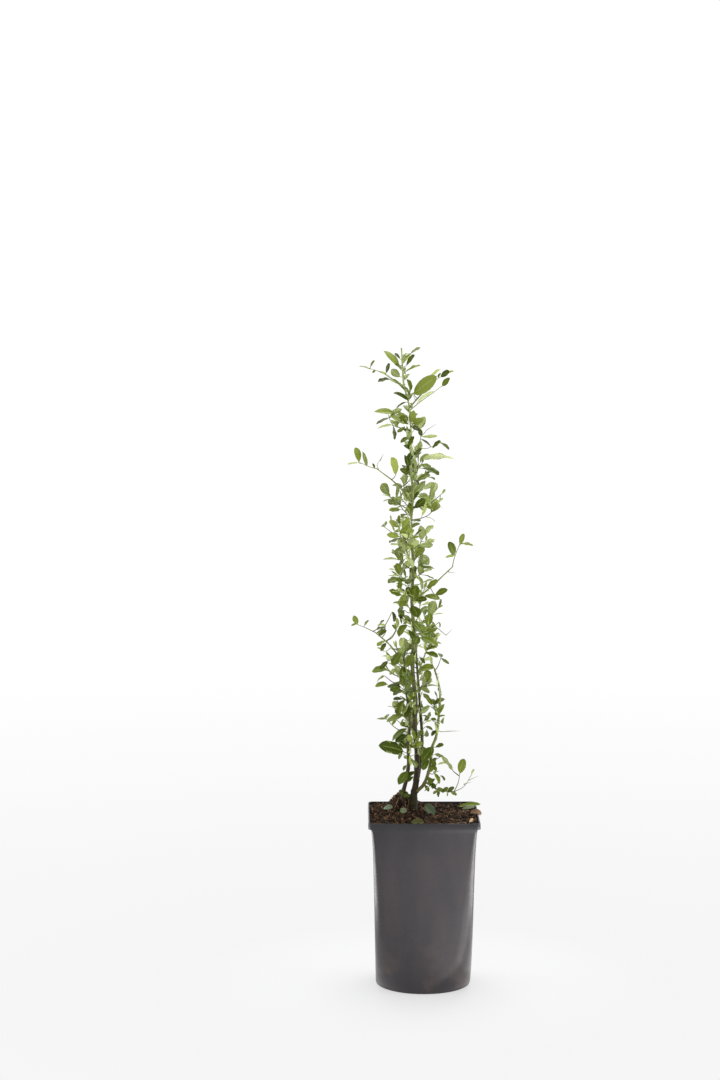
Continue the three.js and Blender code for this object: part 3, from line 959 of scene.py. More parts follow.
# ---- the sprays that stand clear of the crown ----
# Each twig: its name, points from root to tip, and the diameters there.
SPRAY_TWIGS = [
    ("top_left_tip", [(-50, -4, 764), (-60, -4.5, 768), (-68, -5, 770.5)], 1.1, 0.7),
    ("top_right_tip", [(8, -7, 751), (14, -8, 756), (20, -9, 760), (25, -9, 761)], 1.1, 0.7),
    ("top_under_twig", [(-17, 0, 719), (-4, -6, 730), (10, -9, 740), (23, -8, 750)], 1.3, 0.7),
    ("tuft_left_tip", [(-38, -3, 700), (-42, -3, 706), (-44, -4, 712)], 1.1, 0.7),
    ("tuft_right_twig", [(-16, 1, 684), (-17, -4, 694), (-14, -7, 703)], 1.4, 0.9),
    ("shoulder_right_twig", [(-16, 0, 652), (-9, -6, 668), (-5, -9, 682), (-4, -10, 690)], 1.7, 0.9),
    ("shoulder_thin_twig", [(-7, -7, 673), (1, -11, 672), (10, -13, 675), (18, -12, 681)], 1.1, 0.6),
    ("shoulder_low_twig", [(-15, -1, 630), (-8, -8, 646), (-1, -13, 657)], 1.7, 0.9),
    ("middle_left_tip", [(-58, -10, 647), (-68, -11, 650), (-80, -12, 655.5)], 1.2, 0.8),
    ("middle_left_fork", [(-56, -10, 646), (-58, -11, 652), (-53, -12, 660)], 0.9, 0.5),
    ("middle_right_tip", [(35, -12, 526), (37, -13, 536), (44, -14, 555)], 1.3, 0.8),
    ("low_left_tip", [(-60, -9, 444), (-72, -10, 450), (-85, -11, 455.5)], 1.3, 0.7),
    ("foot_right_tip", [(38, -14, 245), (43, -14, 256), (45, -15, 268)], 1.3, 0.9),
    ("foot_right_twig", [(38, -14, 245), (50, -16, 252), (60, -17, 268)], 1, 0.5),
]
# Seen from the front: x and z of each leaf's base, then of its tip, how wide it looks, its tone, and how
# far its tip stands nearer (-) or further (+) than its base. A tone is how bright the leaf looks, so it holds
# painted light and shade besides the leaf's own green. A tone that starts with "under" shows its lower face.
SPRAY_LEAVES = [
    # the leader's head
    (-31, 775, -50, 792, 10, "fresh", -5), (-30, 782, -36, 789, 4, "dark", 4),
    (-27, 775, -16, 789, 6, "pale", 5), (-17, 788, -5, 796, 2.5, "under_dark", -3),
    (-22, 774, -12, 787, 6, "deep", -6), (-23, 766, -5, 774, 4, "fresh", -8),
    (-30, 760, -41, 769, 10, "under", -6), (-29, 752, -42, 756, 4, "under_pale", 6),
    (-18, 741, -22, 757, 6, "mid", -7), (-19, 738, -25, 748, 3, "under", 5),
    (-19, 731, -38, 740, 7, "deep", -5), (-22, 729, -35, 720, 3, "dark", 5),
    (-26, 781, -22, 789, 3, "bright", -4), (-30, 771, -37, 776, 4, "mid", -5),
    # towards the viewer, and away on the far side
    (-24, 764, -23, 771, 5, "green", -12), (-18, 737, -17, 743, 5, "mid", -13),
    (-16, 722, -14, 727, 6, "green", -14), (-30, 770, -32, 776, 6, "mid", 14),
    (-23, 757, -20, 763, 7, "green", 15), (-25, 745, -29, 751, 7, "deep", 15),
    (-18, 732, -15, 739, 8, "mid", 16), (-20, 717, -24, 724, 8, "green", 16),
    (-14, 708, -10, 714, 8, "deep", 17),
    # the top left spray
    (-47, 765, -43, 777, 5, "dark", -3), (-41, 757, -57, 754, 5, "dark", -6),
    (-46, 761, -58, 767, 3.5, "bright", 4), (-68, 770, -80, 773, 2.5, "green", -4),
    (-67, 770, -61, 780, 2.5, "mid", -4), (-60, 768, -64, 765, 3, "mid", 2),
    # the top right spray
    (-13, 739, 15, 761, 18, "fresh", -9), (20, 760, 30, 768, 7.5, "dark", -3),
    (17, 759, 20, 765, 3, "mid", 4), (22, 749, 31, 759, 7.5, "mid", -4),
    (25, 761, 36, 767, 2.5, "bright", -3), (-9, 728, 12, 742, 4, "under_pale", 6),
    (6, 751, 20, 769, 3, "pale", 9),
    # the tuft below
    (-38, 716, -62, 717, 9, "fresh", -5), (-43, 710, -59, 702, 4, "dark", -5),
    (-42, 707, -33, 699, 6, "pale", -8), (-41, 713, -28, 721, 7, "under_pale", -6),
    (-40, 701, -58, 696, 4, "bright", 5), (-38, 699, -37, 683, 5, "deep", -6),
    (-36, 700, -23, 712, 6, "mid", -8), (-16, 704, -13, 719, 10, "fresh", -6),
    (-14, 703, -1, 708, 9, "fresh", -7), (-17, 700, -6, 694, 6, "dark", -8),
    (-42, 713, -25, 702, 8, "pale", -6), (-21, 707, -33, 717, 6, "fresh", -7),
    (-19, 702, -31, 706, 5, "mid", -6), (-24, 699, -33, 692, 5, "green", -6),
    (-15, 690, -25, 695, 5, "deep", -6), (-13, 687, -18, 676, 6, "deep", -7),
    (-20, 686, -29, 679, 6, "mid", -7),
    # the shoulder's right side
    (-4, 688, -6, 697, 6, "dark", -3), (-3, 687, 16, 688, 4.5, "bright", -5),
    (-4, 684, 8, 674, 4, "dark", -6), (10, 673, 20, 682, 5, "deep", -4), (18, 680, 30, 671, 4, "deep", -5),
    (-2, 660, 36, 660, 10, "pale", -9), (-6, 652, 8, 649, 6, "green", -8), (-3, 648, 18, 640, 7, "deep", -7),
    (-35, 640, -41, 662, 10, "bright", -6), (-25, 675, -14, 670, 6, "dark", -6),
    (-22, 645, -12, 652, 8, "dark", -6), (-12, 664, -3, 672, 6, "deep", -6),
    (-20, 640, -30, 647, 7, "deep", -6), (-24, 664, -19, 650, 7, "dark", -5),
    (-20, 655, -12, 668, 8, "dark", -4),
    # the middle left sprig
    (-80, 656, -85, 674, 8.5, "fresh", -3), (-70, 651, -76, 669, 6, "green", -5),
    (-81, 655, -95, 653, 2.5, "bright", 3), (-61, 648, -64, 654, 3, "deep", -2),
    # the middle right sprig
    (37, 541, 30, 558, 10, "deep", -4), (38, 541, 26, 538, 4, "bright", 5),
    (44, 555, 49, 568, 7, "fresh", -4), (45, 555, 60, 553, 4, "green", -5), (14, 492, 29, 499, 8, "mid", -6),
    # the low left sprig
    (-82, 455, -87, 466, 7.5, "green", -3), (-74, 451, -68, 460, 2.5, "mid", -3),
    (-84, 455, -90, 453, 3, "green", 3),
    # the column, left of its stems
    (-55, 455, -49, 461, 2.5, "deep", -4), (-47, 451, -58, 451, 2.5, "bright", -4),
    (-52, 450, -50, 444, 3, "deep", -3), (-47, 449, -59, 446, 3, "deep", -5),
    (-46, 446, -57, 439, 7, "mid", -6), (-47, 434, -58, 428, 4, "fresh", -5),
    (-47, 431, -53, 421, 6, "deep", -4), (-49, 419, -58, 424, 2.5, "bright", 4),
    (-45, 409, -54, 399, 6, "dark", -5), (-46, 395, -64, 391, 9, "mid", -7),
    (-48, 386, -58, 378, 2.5, "green", -4), (-45, 376, -60, 373, 6, "green", -6),
    (-46, 332, -58, 333, 4, "under_dark", 4), (-25, 295, -56, 304, 16, "dark", -7),
    (-39, 467, -36, 454, 5, "dark", -5), (-24, 470, -29, 458, 8, "deep", -8),
    (-30, 463, -27, 452, 3, "dark", -3), (-33, 448, -33, 460, 5, "pale", -6),
    (-34, 449, -40, 456, 4, "deep", -4), (-22, 454, -31, 440, 9, "mid", -10),
    (-25, 438, -28, 427, 6, "pale", -9), (-27, 420, -39, 403, 12, "mid", -9),
    (-26, 381, -28, 402, 11, "deep", -11), (-28, 374, -45, 374, 6, "dark", -6),
    (-28, 372, -38, 366, 5, "deep", -5), (-26, 361, -38, 361, 4, "dark", -5),
    (-23, 360, -31, 341, 8, "deep", -10), (-28, 348, -36, 345, 5, "dark", -4),
    (-27, 341, -46, 334, 7, "green", -8), (-34, 336, -39, 330, 3.5, "fresh", -4),
    (-26, 336, -28, 328, 3, "mid", -3), (-21, 324, -39, 309, 7, "deep", -7),
    (-21, 316, -35, 307, 7, "dark", -6), (-26, 291, -31, 283, 4, "deep", -4),
    (-22, 277, -25, 271, 4, "deep", -5), (-19, 269, -31, 254, 11, "deep", -9),
    (-24, 241, -31, 246, 6, "dark", -8), (-27, 241, -17, 238, 6, "dark", -8),
    # before the stems
    (-18, 446, -11, 433, 7, "deep", -9), (-10, 427, -27, 417, 10, "green", -12),
    (-13, 417, -21, 401, 9, "green", -11), (-17, 383, -21, 398, 8, "dark", -8),
    (-9, 368, -19, 359, 9, "green", -9), (-17, 357, -26, 343, 3.5, "pale", -11),
    (-15, 350, -22, 339, 6, "dark", -9), (-13, 357, -11, 341, 4, "mid", -8),
    (-15, 324, -11, 311, 5, "green", -6), (-19, 302, -9, 301, 5, "fresh", -9),
    (-18, 298, -10, 305, 3.5, "pale", -8), (-17, 291, -16, 278, 3.5, "bright", -7),
    (-14, 284, -8, 276, 7, "under_dark", -7),
    # right of them
    (-15, 452, 3, 443, 9, "dark", -10), (1, 442, 11, 446, 6, "fresh", -8), (13, 438, 12, 451, 5, "dark", -5),
    (-3, 452, 14, 454, 3, "under_dark", -5), (20, 452, 21, 444, 2.5, "deep", -3),
    (-3, 435, 18, 425, 10, "green", -10), (5, 415, 18, 419, 5, "mid", -8),
    (6, 412, 1, 424, 4.5, "bright", -7), (2, 411, 19, 407, 5.5, "mid", -8), (-4, 409, 2, 402, 4, "dark", -3),
    (22, 409, 32, 402, 4, "deep", 4), (-5, 391, 14, 396, 9, "bright", -8), (3, 374, -1, 368, 5, "dark", -4),
    (5, 373, 5, 365, 3, "mid", -4), (11, 350, 0, 364, 6, "mid", -7), (13, 350, 27, 357, 6, "deep", -6),
    (26, 353, 15, 340, 6, "green", -8), (8, 347, -3, 341, 8, "under_dark", -8),
    (9, 335, 16, 334, 4, "mid", -5), (18, 337, 27, 339, 2.5, "mid", -4),
    (-1, 335, 8, 332, 2.5, "under_dark", -4), (18, 316, 14, 328, 4, "green", -5),
    (4, 326, 11, 327, 2.5, "bright", -4), (3, 321, 12, 318, 4, "under_dark", -6),
    (15, 320, 10, 314, 5, "dark", -5), (0, 318, -5, 309, 5, "green", -8),
    (15, 300, 25, 304, 4.5, "deep", -6), (12, 300, -2, 283, 13, "deep", -11),
    (14, 291, 27, 288, 5, "under_dark", -6), (6, 284, -1, 273, 8, "deep", -9),
    (17, 285, 11, 277, 5, "mid", -7), (22, 289, 37, 271, 6, "under_pale", -8),
    (31, 279, 18, 277, 3, "pale", 4), (13, 277, 16, 271, 5, "green", -5), (14, 267, 19, 255, 5.5, "mid", -7),
    (14, 262, 5, 256, 5, "deep", -6), (22, 262, 27, 256, 3, "under_dark", 3),
    (11, 256, 15, 250, 4, "dark", -4), (45, 269, 50, 288, 11, "green", -3),
    (59, 267, 63, 274, 2.5, "under_dark", 3),
    # along the foot's right twig
    (26, 245, 17, 251, 5, "deep", -5), (24, 246, 31, 251, 5, "mid", -5), (30, 245, 38, 252, 5.5, "deep", -6),
    (34, 245, 41, 242, 4, "mid", -5), (21, 247, 12, 243, 3, "green", -5), (20, 246, 18, 238, 4, "mid", 4),
    (29, 245, 30, 239, 2.5, "green", 3),
    # round the stems' feet
    (9, 286, 15, 277, 6, "deep", -6), (13, 279, 9, 270, 6, "mid", -7), (3, 262, 12, 257, 5, "mid", -8),
    (8, 257, 11, 249, 5, "deep", -7), (2, 252, 6, 245, 5, "mid", -8), (7, 250, 1, 246, 3, "under", -6),
    (-10, 268, -22, 259, 6, "dark", -6), (-12, 262, -20, 256, 4, "deep", -5),
    (-1, 296, 6, 281, 8, "deep", -9),
]
VIEWER = Vector((0, -1, 0.1)).normalized()
NATURAL_WIDTH = 0.54  # of a leaf's length, at least: one that looks narrower is seen from its edge
LEAF_SLIMNESS = 0.93  # a leaf is a little slimmer than its blurred picture looks
CROWN_Z = 700  # above this every leaf stands close to its twig's own plane
LONG_STALK = 6  # a longer stalk is a twig, and may bear a second leaf
SECOND_LEAVES = 0.3  # the share of such twigs that do


def stand_off(aside, height, dice):
    """How far in front of its root (-) or behind it (+) a leaf's base is, when it stands aside by so much."""
    if height > CROWN_Z or aside < LONG_STALK:
        return -2 - 0.35 * aside
    return dice.choice((-1, -1, 1)) * dice.uniform(0.4, 0.95) * min(aside, 24)


def stalk(plant, root, base, normal, dice):
    """What holds a leaf: a petiole, or a twig that leaves its limb flat and turns up to the leaf."""
    length = (base - root).length
    if length >= LONG_STALK:
        knee = root.lerp(base, 0.55) - UP * (0.12 * length)
        plant.twig(smooth_line([root, knee, base], 2), 1 + 0.015 * length, 0.8, dice.choice(TWIG_FINISHES))
    elif length > 0.8:
        plant.petiole(root, base, normal)


def make_sprays(plant):
    """The listed twigs and leaves. A leaf that looks narrower than it is gets rolled on its length."""
    dice = random.Random(101)
    for name, points, thick, thin in SPRAY_TWIGS:
        line = smooth_line(points, 3)
        plant.lines[name] = line
        plant.twig(line, thick, thin, "twig_green" if points[0][2] > 600 else "twig_olive")
        plant.end_bud(line, 1.3)
    for base_x, base_z, tip_x, tip_z, looks, tone, nearer in SPRAY_LEAVES:
        root, aside = plant.root_seen(base_x, base_z)
        off = stand_off(aside, base_z, dice)
        base = Vector((base_x, root.y + off, base_z))
        tip = Vector((tip_x, base.y + (nearer if off < 0 else -nearer), tip_z))
        ahead = (tip - base).normalized()
        looks *= LEAF_SLIMNESS
        width = max(looks, NATURAL_WIDTH * (tip - base).length)
        roll = math.acos(looks / width)
        facing = (VIEWER - ahead * VIEWER.dot(ahead)).normalized()
        beside = ahead.cross(facing)
        if beside.z < 0:
            beside = -beside
        under = "under"
        if tone.startswith("under"):
            facing = -facing
            tone, under = "mid", tone
        normal = facing * math.cos(roll) + beside * math.sin(roll)
        plant.leaf(base, tip, normal, width, tone, dice, under=under)
        stalk(plant, root, base, normal, dice)
        if aside > LONG_STALK and base_z < CROWN_Z and dice.random() < SECOND_LEAVES:
            # its neighbour points away from the viewer, or towards them
            sideways = 0.3 * dice.uniform(-1, 1)
            outward = Vector((sideways, math.copysign(1, off), dice.uniform(0.1, 0.8))).normalized()
            size = dice.uniform(11, 18)
            start = base + outward * 1.5
            lie = leaf_normal(UP, outward, dice)
            second = neighbour_tone(tone, dice)
            width = size * dice.uniform(0.45, 0.55)
            plant.leaf(start, start + outward * size, lie, width, second, dice, room=0.3 * size)


# ---- the rest of the foliage, by rule ----
# How many twigs each tier's lobes carry, and how many more those at the back do.
TIER_TWIGS = {"foot": 0, "skirt": 1, "belly": 1, "waist": 1, "rib": 3, "neck": 3, "shoulder": 1}
BACK_TWIGS = 2
OUTER_TWIGS = {"high_back_spray": 3, "low_back_spray": 3, "front_spray": 3}
TWIG_LEAVES = (4, 6)  # the fewest and the most that one bears
TWIG_TONES = ("dark", "deep", "mid", "mid", "green", "green", "fresh")
TWIG_FINISHES = ("twig_olive", "twig_brown", "twig_green")
TWIG_BUDS, TWIG_THORNS = 0.25, 0.3  # the share of leaves with a bud, and of missing ones with a thorn
LEAF_LENGTHS = (14, 24)
LEAF_WIDTHS = (0.5, 0.64)  # of a leaf's length
LEAF_SPREADS = (42, 74)  # degrees between a twig and its leaves
PETIOLES = (2, 4.5)
YOUNG_LENGTHS = (7, 12)
TWIG_SHORTEST, TWIG_LONGEST = 12, 62
TWIG_RISE = 4  # at least
TWIG_SLOPE = 0.62  # rise to length, as most twigs have it
LOWEST_ROOT = 262
TARGET_TRIES = 40
COLUMN_X, COLUMN_Y = -12, 1
COLUMN_EDGES = (-56, 26)  # no random leaf reaches further left or right


def neighbour_tone(tone, dice):
    """A tone, or the one before or after it."""
    i = TONE_ORDER.index(tone) + dice.choice((-1, 0, 0, 1))
    return TONE_ORDER[max(0, min(len(TONE_ORDER) - 1, i))]


def leaf_normal(along, outward, dice):
    """Leaves turn their upper face up and out of the crown."""
    mixed = UP * 0.75 + outward * 0.55 + along * 0.25
    return mixed + Vector((dice.gauss(0, 0.32), dice.gauss(0, 0.32), dice.gauss(0, 0.22)))


def from_column(point):
    """The level way from the column's middle to a point."""
    return Vector((point.x - COLUMN_X, point.y - COLUMN_Y, 0))


def find_root(plant, target, dice):
    """The limb point that a twig to the target would grow from, some way below it, and its radius."""
    least, found = math.inf, None
    for name in LIMBS:
        skeleton = list(zip(plant.lines[name], plant.radii[name]))
        for point, radius in skeleton[2:-1:3]:
            rise = target.z - point.z
            away = (target - point).length
            if rise < TWIG_RISE or not TWIG_SHORTEST <= away <= TWIG_LONGEST or point.z < LOWEST_ROOT:
                continue
            cost = away + 26 * abs(rise / away - TWIG_SLOPE) + dice.uniform(0, 5)
            if cost < least:
                least, found = cost, (point, radius)
    return found


def grow_leafy_twig(plant, root, root_radius, target, leaves, tone, dice):
    """A twig that leaves its limb outwards, bends up to the target, and bears leaves in a spiral."""
    flat = Vector((target.x - root.x, target.y - root.y, 0))
    outward = flat.normalized() if flat.length > 1 else across(UP)
    rise = target.z - root.z
    bend = root + flat * dice.uniform(0.5, 0.65) + UP * (rise * dice.uniform(0.25, 0.4))
    line = smooth_line([root + outward * (0.6 * root_radius), bend, target], 3)
    plant.twig(line, dice.uniform(1.25, 1.7), 0.75, dice.choice(TWIG_FINISHES))
    plant.lines[f"twig_{len(plant.lines)}"] = line
    along = tangents(line)
    turn = dice.uniform(0, 2 * math.pi)
    for k in range(leaves):
        share = 0.3 + 0.66 * k / max(1, leaves - 1)
        index = min(len(line) - 1, round(share * (len(line) - 1)))
        point, axis = line[index], along[index]
        turn += GOLDEN_TURN
        radial = spoke(axis, turn)
        spread = math.radians(dice.uniform(*LEAF_SPREADS))
        direction = (axis * math.cos(spread) + radial * math.sin(spread) + UP * 0.12).normalized()
        # no leaf points back into the stems
        away = from_column(point)
        if away.length > 8 and direction.dot(away.normalized()) < -0.5:
            direction = (direction + away.normalized() * 0.9).normalized()
        size = dice.uniform(*LEAF_LENGTHS) * (1 - 0.25 * share)
        base = point + direction * dice.uniform(*PETIOLES) + UP * 0.4
        outside = (from_column(base) + flat * 0.4).normalized()
        normal = leaf_normal(axis, outside, dice)
        width = size * dice.uniform(*LEAF_WIDTHS)
        own_tone = neighbour_tone(tone, dice)
        if plant.leaf(base, base + direction * size, normal, width, own_tone, dice, room=0.4 * size):
            plant.petiole(point, base, UP)
            if dice.random() < TWIG_BUDS:
                plant.bud(point + radial * 0.6, (radial + axis).normalized(), 1.1)
        elif dice.random() < TWIG_THORNS:
            plant.thorn(point, (radial + axis * 0.4).normalized(), dice.uniform(6, 10))
    # young leaves round the tip
    for _ in range(2):
        turn += GOLDEN_TURN
        direction = (along[-1] + spoke(along[-1], turn) * 0.5).normalized()
        size = dice.uniform(*YOUNG_LENGTHS)
        base = line[-1] + direction * 0.8
        young = neighbour_tone("fresh", dice)
        normal = leaf_normal(along[-1], outward, dice)
        plant.leaf(base, base + direction * size, normal, size * 0.4, young, dice, room=3)
    plant.bud(line[-1], along[-1], 1.4)


def grow_masses(plant):
    """Leafy twigs that reach for chance targets in the masses' boxes."""
    for name in MASSES:
        tier = name.split("_")[0]
        twigs = OUTER_TWIGS.get(name, 0)
        if tier in TIER_TWIGS:
            twigs = TIER_TWIGS[tier] + (BACK_TWIGS if "back" in name else 0)
        dice = random.Random(f"firethorn {name}")
        low, high = plant.boxes[name]
        half = (high - low) / 2
        for _ in range(twigs):
            for _ in range(TARGET_TRIES):
                way = dice.uniform(0, 2 * math.pi)
                reach = dice.uniform(0.3, 0.85)
                flat = Vector((half.x * reach * math.cos(way), half.y * reach * math.sin(way), 0))
                target = (low + high) / 2 + flat + UP * (half.z * dice.uniform(-1.1, 1.1))
                found = find_root(plant, target, dice)
                if found:
                    tone = dice.choice(TWIG_TONES)
                    grow_leafy_twig(plant, *found, target, dice.randint(*TWIG_LEAVES), tone, dice)
                    break


SPUR_SPACING = 12  # between the leaf clusters that sit straight on the stems
SPUR_LOWEST = 285
# leaves on the stems deep in the crown take the darker tones, which are in part painted shade
SPUR_TONES = ("dark", "deep", "mid", "green")
SPUR_LEAVES = (1, 2, 2, 3)
SPUR_LENGTHS = (13, 23)
SPUR_THORNS = 0.3  # the share of spurs that are thorns
SPUR_THORN_LENGTHS = (8, 14)
FRONT_SKIPPED = 0.85  # the share of leaf clusters left out where the front is already dressed
HEAD_Z = 715  # no leaf cluster stands above this
OPEN_FRONT = (472, 640)  # between these heights the front has few listed leaves


def grow_spurs(plant):
    """Clusters of small leaves, thorns and buds straight on the stems and boughs."""
    dice = random.Random(211)
    for name in LIMBS:
        line, radii = plant.lines[name], plant.radii[name]
        along = tangents(line)
        _, length = shares(line)
        nodes = int(length / SPUR_SPACING)
        turn = dice.uniform(0, 6)
        # the other boughs are already dressed
        bare = name in STEMS or name.endswith("back_bough") or name == "front_bough"
        for k in range(1, nodes + 1):
            index = min(len(line) - 1, round(k / (nodes + 0.5) * (len(line) - 1)))
            point, axis, radius = line[index], along[index], radii[index]
            turn += GOLDEN_TURN
            if point.z < SPUR_LOWEST:
                continue
            radial = spoke(axis, turn)
            skin = point + radial * radius
            plant.bud(skin, (radial + axis * 0.8).normalized(), 1.2)
            if dice.random() < SPUR_THORNS:
                outward = (radial + axis * 0.25).normalized()
                plant.thorn(skin - radial * 0.3, outward, dice.uniform(*SPUR_THORN_LENGTHS))
                continue
            if point.z > HEAD_Z or not bare:
                continue
            # so is most of the side that faces the viewer
            dressed = radial.y < 0.1 and not OPEN_FRONT[0] < point.z < OPEN_FRONT[1]
            if dressed and dice.random() < FRONT_SKIPPED:
                continue
            tone = dice.choice(SPUR_TONES)
            for _ in range(dice.choice(SPUR_LEAVES)):
                swing = rotation(dice.uniform(-0.9, 0.9), axis)
                direction = (swing @ radial + axis * dice.uniform(0.3, 1.1)).normalized()
                size = dice.uniform(*SPUR_LENGTHS)
                base = skin + direction * dice.uniform(1.5, 4)
                tip = base + direction * size
                normal = leaf_normal(axis, radial, dice)
                width = size * dice.uniform(*LEAF_WIDTHS)
                own_tone = neighbour_tone(tone, dice)
                if plant.leaf(base, tip, normal, width, own_tone, dice, room=0.36 * size):
                    plant.petiole(point + radial * (0.7 * radius), base, UP)


SIDE_SPACING = 10  # between the leaves on the stems that point to the plant's front or back
SIDE_LENGTHS = (14, 22)


def grow_side_leaves(plant):
    """Leaves that face the plant's left or right, so that the front view shows them from their edges."""
    dice = random.Random(307)
    for name in STEMS:
        line, radii = plant.lines[name], plant.radii[name]
        _, length = shares(line)
        nodes = int(length / SIDE_SPACING)
        for k in range(nodes):
            index = round((k + dice.random()) / nodes * (len(line) - 2))
            point, radius = line[index], radii[index]
            if not SPUR_LOWEST < point.z < CROWN_Z:
                continue
            ahead = dice.choice((-1, 1))
            direction = Vector((dice.uniform(-0.3, 0.3), ahead, dice.uniform(0.2, 0.9))).normalized()
            size = dice.uniform(*SIDE_LENGTHS)
            base = point + direction * (radius + dice.uniform(2, 12))
            tip = base + direction * size
            normal = Vector((dice.choice((-1, 1)), 0.3 * ahead, dice.uniform(0.1, 0.5)))
            tone = dice.choice(SPUR_TONES)
            width = size * dice.uniform(0.5, 0.6)
            if plant.leaf(base, tip, normal, width, tone, dice, room=0.32 * size):
                plant.petiole(point + direction * (0.7 * radius), base, UP)


# Thorns that stand clear against the sky: root and tip.
CLEAR_THORNS = [
    ((3, -10, 695), (17, -12, 704)),
    ((-53, -12, 660), (-50, -12, 666)),
    ((28, -12, 520), (40, -16, 519)),
    ((56, -17, 260), (68, -18, 266)),
    ((50, -16, 255), (60, -16, 258)),
    ((30, 4, 318), (47, 2, 319)),
    ((28, 3, 439), (37, 2, 448)),
]


def make_clear_thorns(plant):
    for root, tip in CLEAR_THORNS:
        root, tip = Vector(root), Vector(tip)
        limb = plant.nearest(lambda point: (point - root).length)
        if (limb - root).length > 1.5:
            plant.twig(smooth_line([limb, root.lerp(limb, 0.5) - UP, root], 2), 1, 0.8, "twig_olive")
        plant.thorn(root, (tip - root).normalized(), (tip - root).length)


def make_plant():
    plant = Plant()
    make_limbs(plant)
    make_sprays(plant)
    grow_masses(plant)
    grow_spurs(plant)
    grow_side_leaves(plant)
    make_clear_thorns(plant)
    for name, leaves in plant.leaves.items():
        leaves.piece(f"{name}_leaves", "foliage", [name])
    plant.twigs.piece("twigs", "young_bark")
    plant.thorns.piece("thorns", "young_bark")
    plant.buds.piece("buds", "young_bark")


# ---- what has fallen on the compost ----
# Base and tip, width, tone, and which way the upper face looks. The first three lie on the compost, and their
# heights are those over it. One leans back, half in the compost. A long blade lies over the rim at the back
# right corner, with a paler one under it.
FALLEN = [
    ((-49, 0, 1.2), (-38, -9, 2.6), 8, "litter_teal", (0.1, -0.7, 0.7)),
    ((-30, -13, 1.2), (-21, -19, 2.6), 8, "litter_grey", (-0.1, -0.8, 0.6)),
    ((-16, -42, 1.2), (0, -44, 2.6), 9, "litter_olive", (0, -0.6, 0.7)),
    ((14, -2, 213.2), (3, 4, 225), 11.5, "litter_teal", (0.2, -0.9, 0.4)),
    ((46, 41, 214.6), (74, 46, 216.8), 7, "mid", (0, -0.5, 0.85)),
    ((50, 33, 213.4), (67, 41, 215.2), 5.5, "litter_grey", (0, -0.8, 0.6)),
]


def laid(x, y, z):
    """A point as given, or lifted by the ground where it is given over that."""
    return Vector((x, y, z if z > SOIL_LEVEL else ground(x, y) + z))


def make_litter():
    """Fallen leaves. A dry one is one tone on both faces."""
    dice = random.Random(77)
    litter = Builder()
    for base, tip, width, tone, normal in FALLEN:
        dry = tone in LITTER_TONES
        kept = len(litter.finishes)
        own, under = ("mid", "under") if dry else (tone, "under_dark")
        add_leaf(litter, laid(*base), laid(*tip), Vector(normal), width, own, under, dice)
        if dry:
            litter.finishes[kept:] = [f"leaf_{tone}"] * (len(litter.finishes) - kept)
    litter.piece("fallen_leaves", "dry_leaf")


CURL_PLACE = (63.5, -8, 217)
CURL_RADIUS = 6.5
CURL_THICKNESS = 0.7
CURL_ROWS, CURL_COLUMNS = 10, 6


def make_curl():
    """A curled scrap of red-brown bark on the rim's right side, near the front."""
    curl = Builder()
    tip_up = rotation(0.6, "X")
    points = []
    for level in (0, CURL_THICKNESS):
        for i in range(CURL_ROWS):
            for j in range(CURL_COLUMNS):
                share, aside = i / (CURL_ROWS - 1), j / (CURL_COLUMNS - 1) - 0.5
                turn = -0.5 + 2.0 * share
                radius = CURL_RADIUS - level
                crumple = 1.6 * noise.noise((share * 5, aside * 5, 2))
                lift = 1.4 * noise.noise((share * 6, aside * 3, 8))
                points.append(Vector(CURL_PLACE) + tip_up @ Vector((
                    radius * math.sin(turn) * 1.3 + 2 * aside,
                    aside * (8.5 - 9 * abs(share - 0.4)) + crumple,
                    radius * (math.cos(turn) - 0.55) + lift,
                )))
    outer = net_faces(CURL_ROWS, CURL_COLUMNS)
    curl.add(points, outer + backs(outer, CURL_ROWS * CURL_COLUMNS), "curl_brown")
    curl.piece("curled_bark", "compost")


# ---- the studio ----
CAMERA_PLACE = (-0.079, -2.976, 0.838)
CAMERA_PITCH = math.radians(90 - 5.37)
CAMERA_LENS = 80.5
SENSOR = 36
CAMERA_SIGHT = 50  # metres
WORLD_LIGHT = 0.73
BACKDROP_LIGHT = 1.05
WHITE = (1, 1, 1, 1)
FLOOR_GREY = (0.84, 0.84, 0.85, 1)
FLOOR_REACH = 9
FLOOR_DROP = 0.0003  # below the pot's tread
PLANT_MIDDLE = (0, 0, 0.4)
PANEL_LEVEL = 0.01
# Soft boxes, which look at the plant's middle, and low panels, which look straight up and give the pot's
# corners their highlights: name, place, size and power.
LIGHTS = [
    ("overhead", (0.1, 0.8, 2.1), 1.3, 24),
    ("left_box", (-2.1, 0.6, 0.8), 1.4, 11),
    ("right_box", (2, 0, 0.5), 1.4, 14),
    ("left_panel", (-0.52, 0.1, PANEL_LEVEL), 0.38, 2.8),
    ("right_panel", (0.55, -0.08, PANEL_LEVEL), 0.42, 3.8),
    ("front_panel", (0.29, -0.31, PANEL_LEVEL), 0.42, 1.1),
    ("wide_panel", (0.27, -0.33, PANEL_LEVEL), 0.5, 0.8),
    ("foot_panel", (0.205, 0, PANEL_LEVEL), 0.26, 0.11),
    ("back_left_box", (-1.3, 2.5, 0.5), 1.4, 15),
    ("back_right_box", (1.35, 2.4, 0.5), 1.4, 15),
]


def make_camera():
    camera = show("camera", bpy.data.cameras.new("camera"))
    camera.location = CAMERA_PLACE
    camera.rotation_euler = (CAMERA_PITCH, 0, 0)
    camera.data.lens = CAMERA_LENS
    camera.data.sensor_width = SENSOR
    camera.data.clip_end = CAMERA_SIGHT
    bpy.context.scene.camera = camera


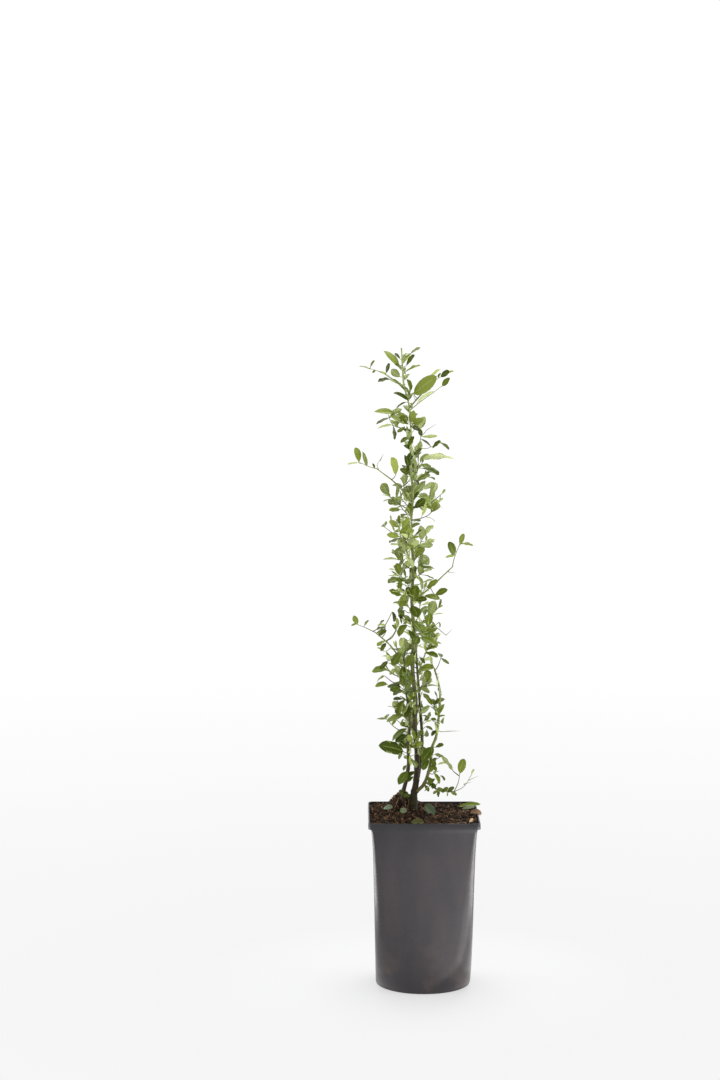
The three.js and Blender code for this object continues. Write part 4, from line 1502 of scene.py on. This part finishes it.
def soft_light(name, stand, size, power):
    """A square area light. One that stands at the panels' level looks straight up."""
    lamp = bpy.data.lights.new(name, "AREA")
    lamp.shape = "SQUARE"
    lamp.size = size
    lamp.energy = power
    box = show(name, lamp)
    box.location = stand
    aim = UP if stand[2] == PANEL_LEVEL else Vector(PLANT_MIDDLE) - Vector(stand)
    box.rotation_euler = aim.to_track_quat("-Z", "Y").to_euler()


def mix_shaders(tree, factor, first, second, output):
    """Two shaders mixed, as what a tree puts out."""
    mixed = add_node(tree, "ShaderNodeMixShader", Fac=factor)
    tree.links.new(first, mixed.inputs[1])
    tree.links.new(second, mixed.inputs[2])
    feed(tree.nodes[output], Surface=mixed.outputs["Shader"])


def make_world():
    """Soft white light from all round, and a plain white background to the camera."""
    world = bpy.data.worlds.new("studio")
    bpy.context.scene.world = world
    world.use_nodes = True
    tree = world.node_tree
    lighting = feed(tree.nodes["Background"], Color=WHITE, Strength=WORLD_LIGHT)
    seen = add_node(tree, "ShaderNodeBackground", Color=WHITE, Strength=BACKDROP_LIGHT)
    to_camera = add_node(tree, "ShaderNodeLightPath").outputs["Is Camera Ray"]
    mix_shaders(tree, to_camera, lighting.outputs["Background"], seen.outputs["Background"], "World Output")


def make_floor():
    """The floor glows, a painted light: away from the pot it runs over into plain white, as in a light tent,
    and near the pot its glowing makes up most of its colour and fills in much of the pot's shadow.
    """
    mesh = bpy.data.meshes.new("floor")
    corners = [(x * FLOOR_REACH, y * FLOOR_REACH, 0) for x, y in ((-1, -1), (1, -1), (1, 1), (-1, 1))]
    mesh.from_pydata(corners, [], [(0, 1, 2, 3)])
    floor = show("floor", mesh)
    floor.location.z = -FLOOR_DROP
    tree, shader = material("floor", roughness=0.75, specular=0.2)
    feed(shader, **{"Base Color": FLOOR_GREY})
    distance = add_node(tree, "ShaderNodeVectorMath", operation="LENGTH")
    tree.links.new(place(tree), distance.inputs[0])
    away = distance.outputs["Value"]
    # painted light: the floor's own emission, which no lamp gives, lifts its shadows
    painted_floor_glow = add_node(tree, "ShaderNodeEmission", Strength=span(tree, away, 0.3, 3.5, 0.915, 1.04))
    far = span(tree, away, 0.05, 0.3, 0.62, 1.0)
    mix_shaders(tree, far, shader.outputs["BSDF"], painted_floor_glow.outputs["Emission"], "Material Output")
    mesh.materials.append(MATERIALS["floor"])


def make_studio():
    make_world()
    make_floor()
    for light in LIGHTS:
        soft_light(*light)
    bpy.context.scene.view_settings.view_transform = "Standard"


make_camera()
make_materials()
make_pot()
make_compost_bed()
make_crumbs()
make_fibres()
make_chips()
make_plant()
make_litter()
make_curl()
make_studio()
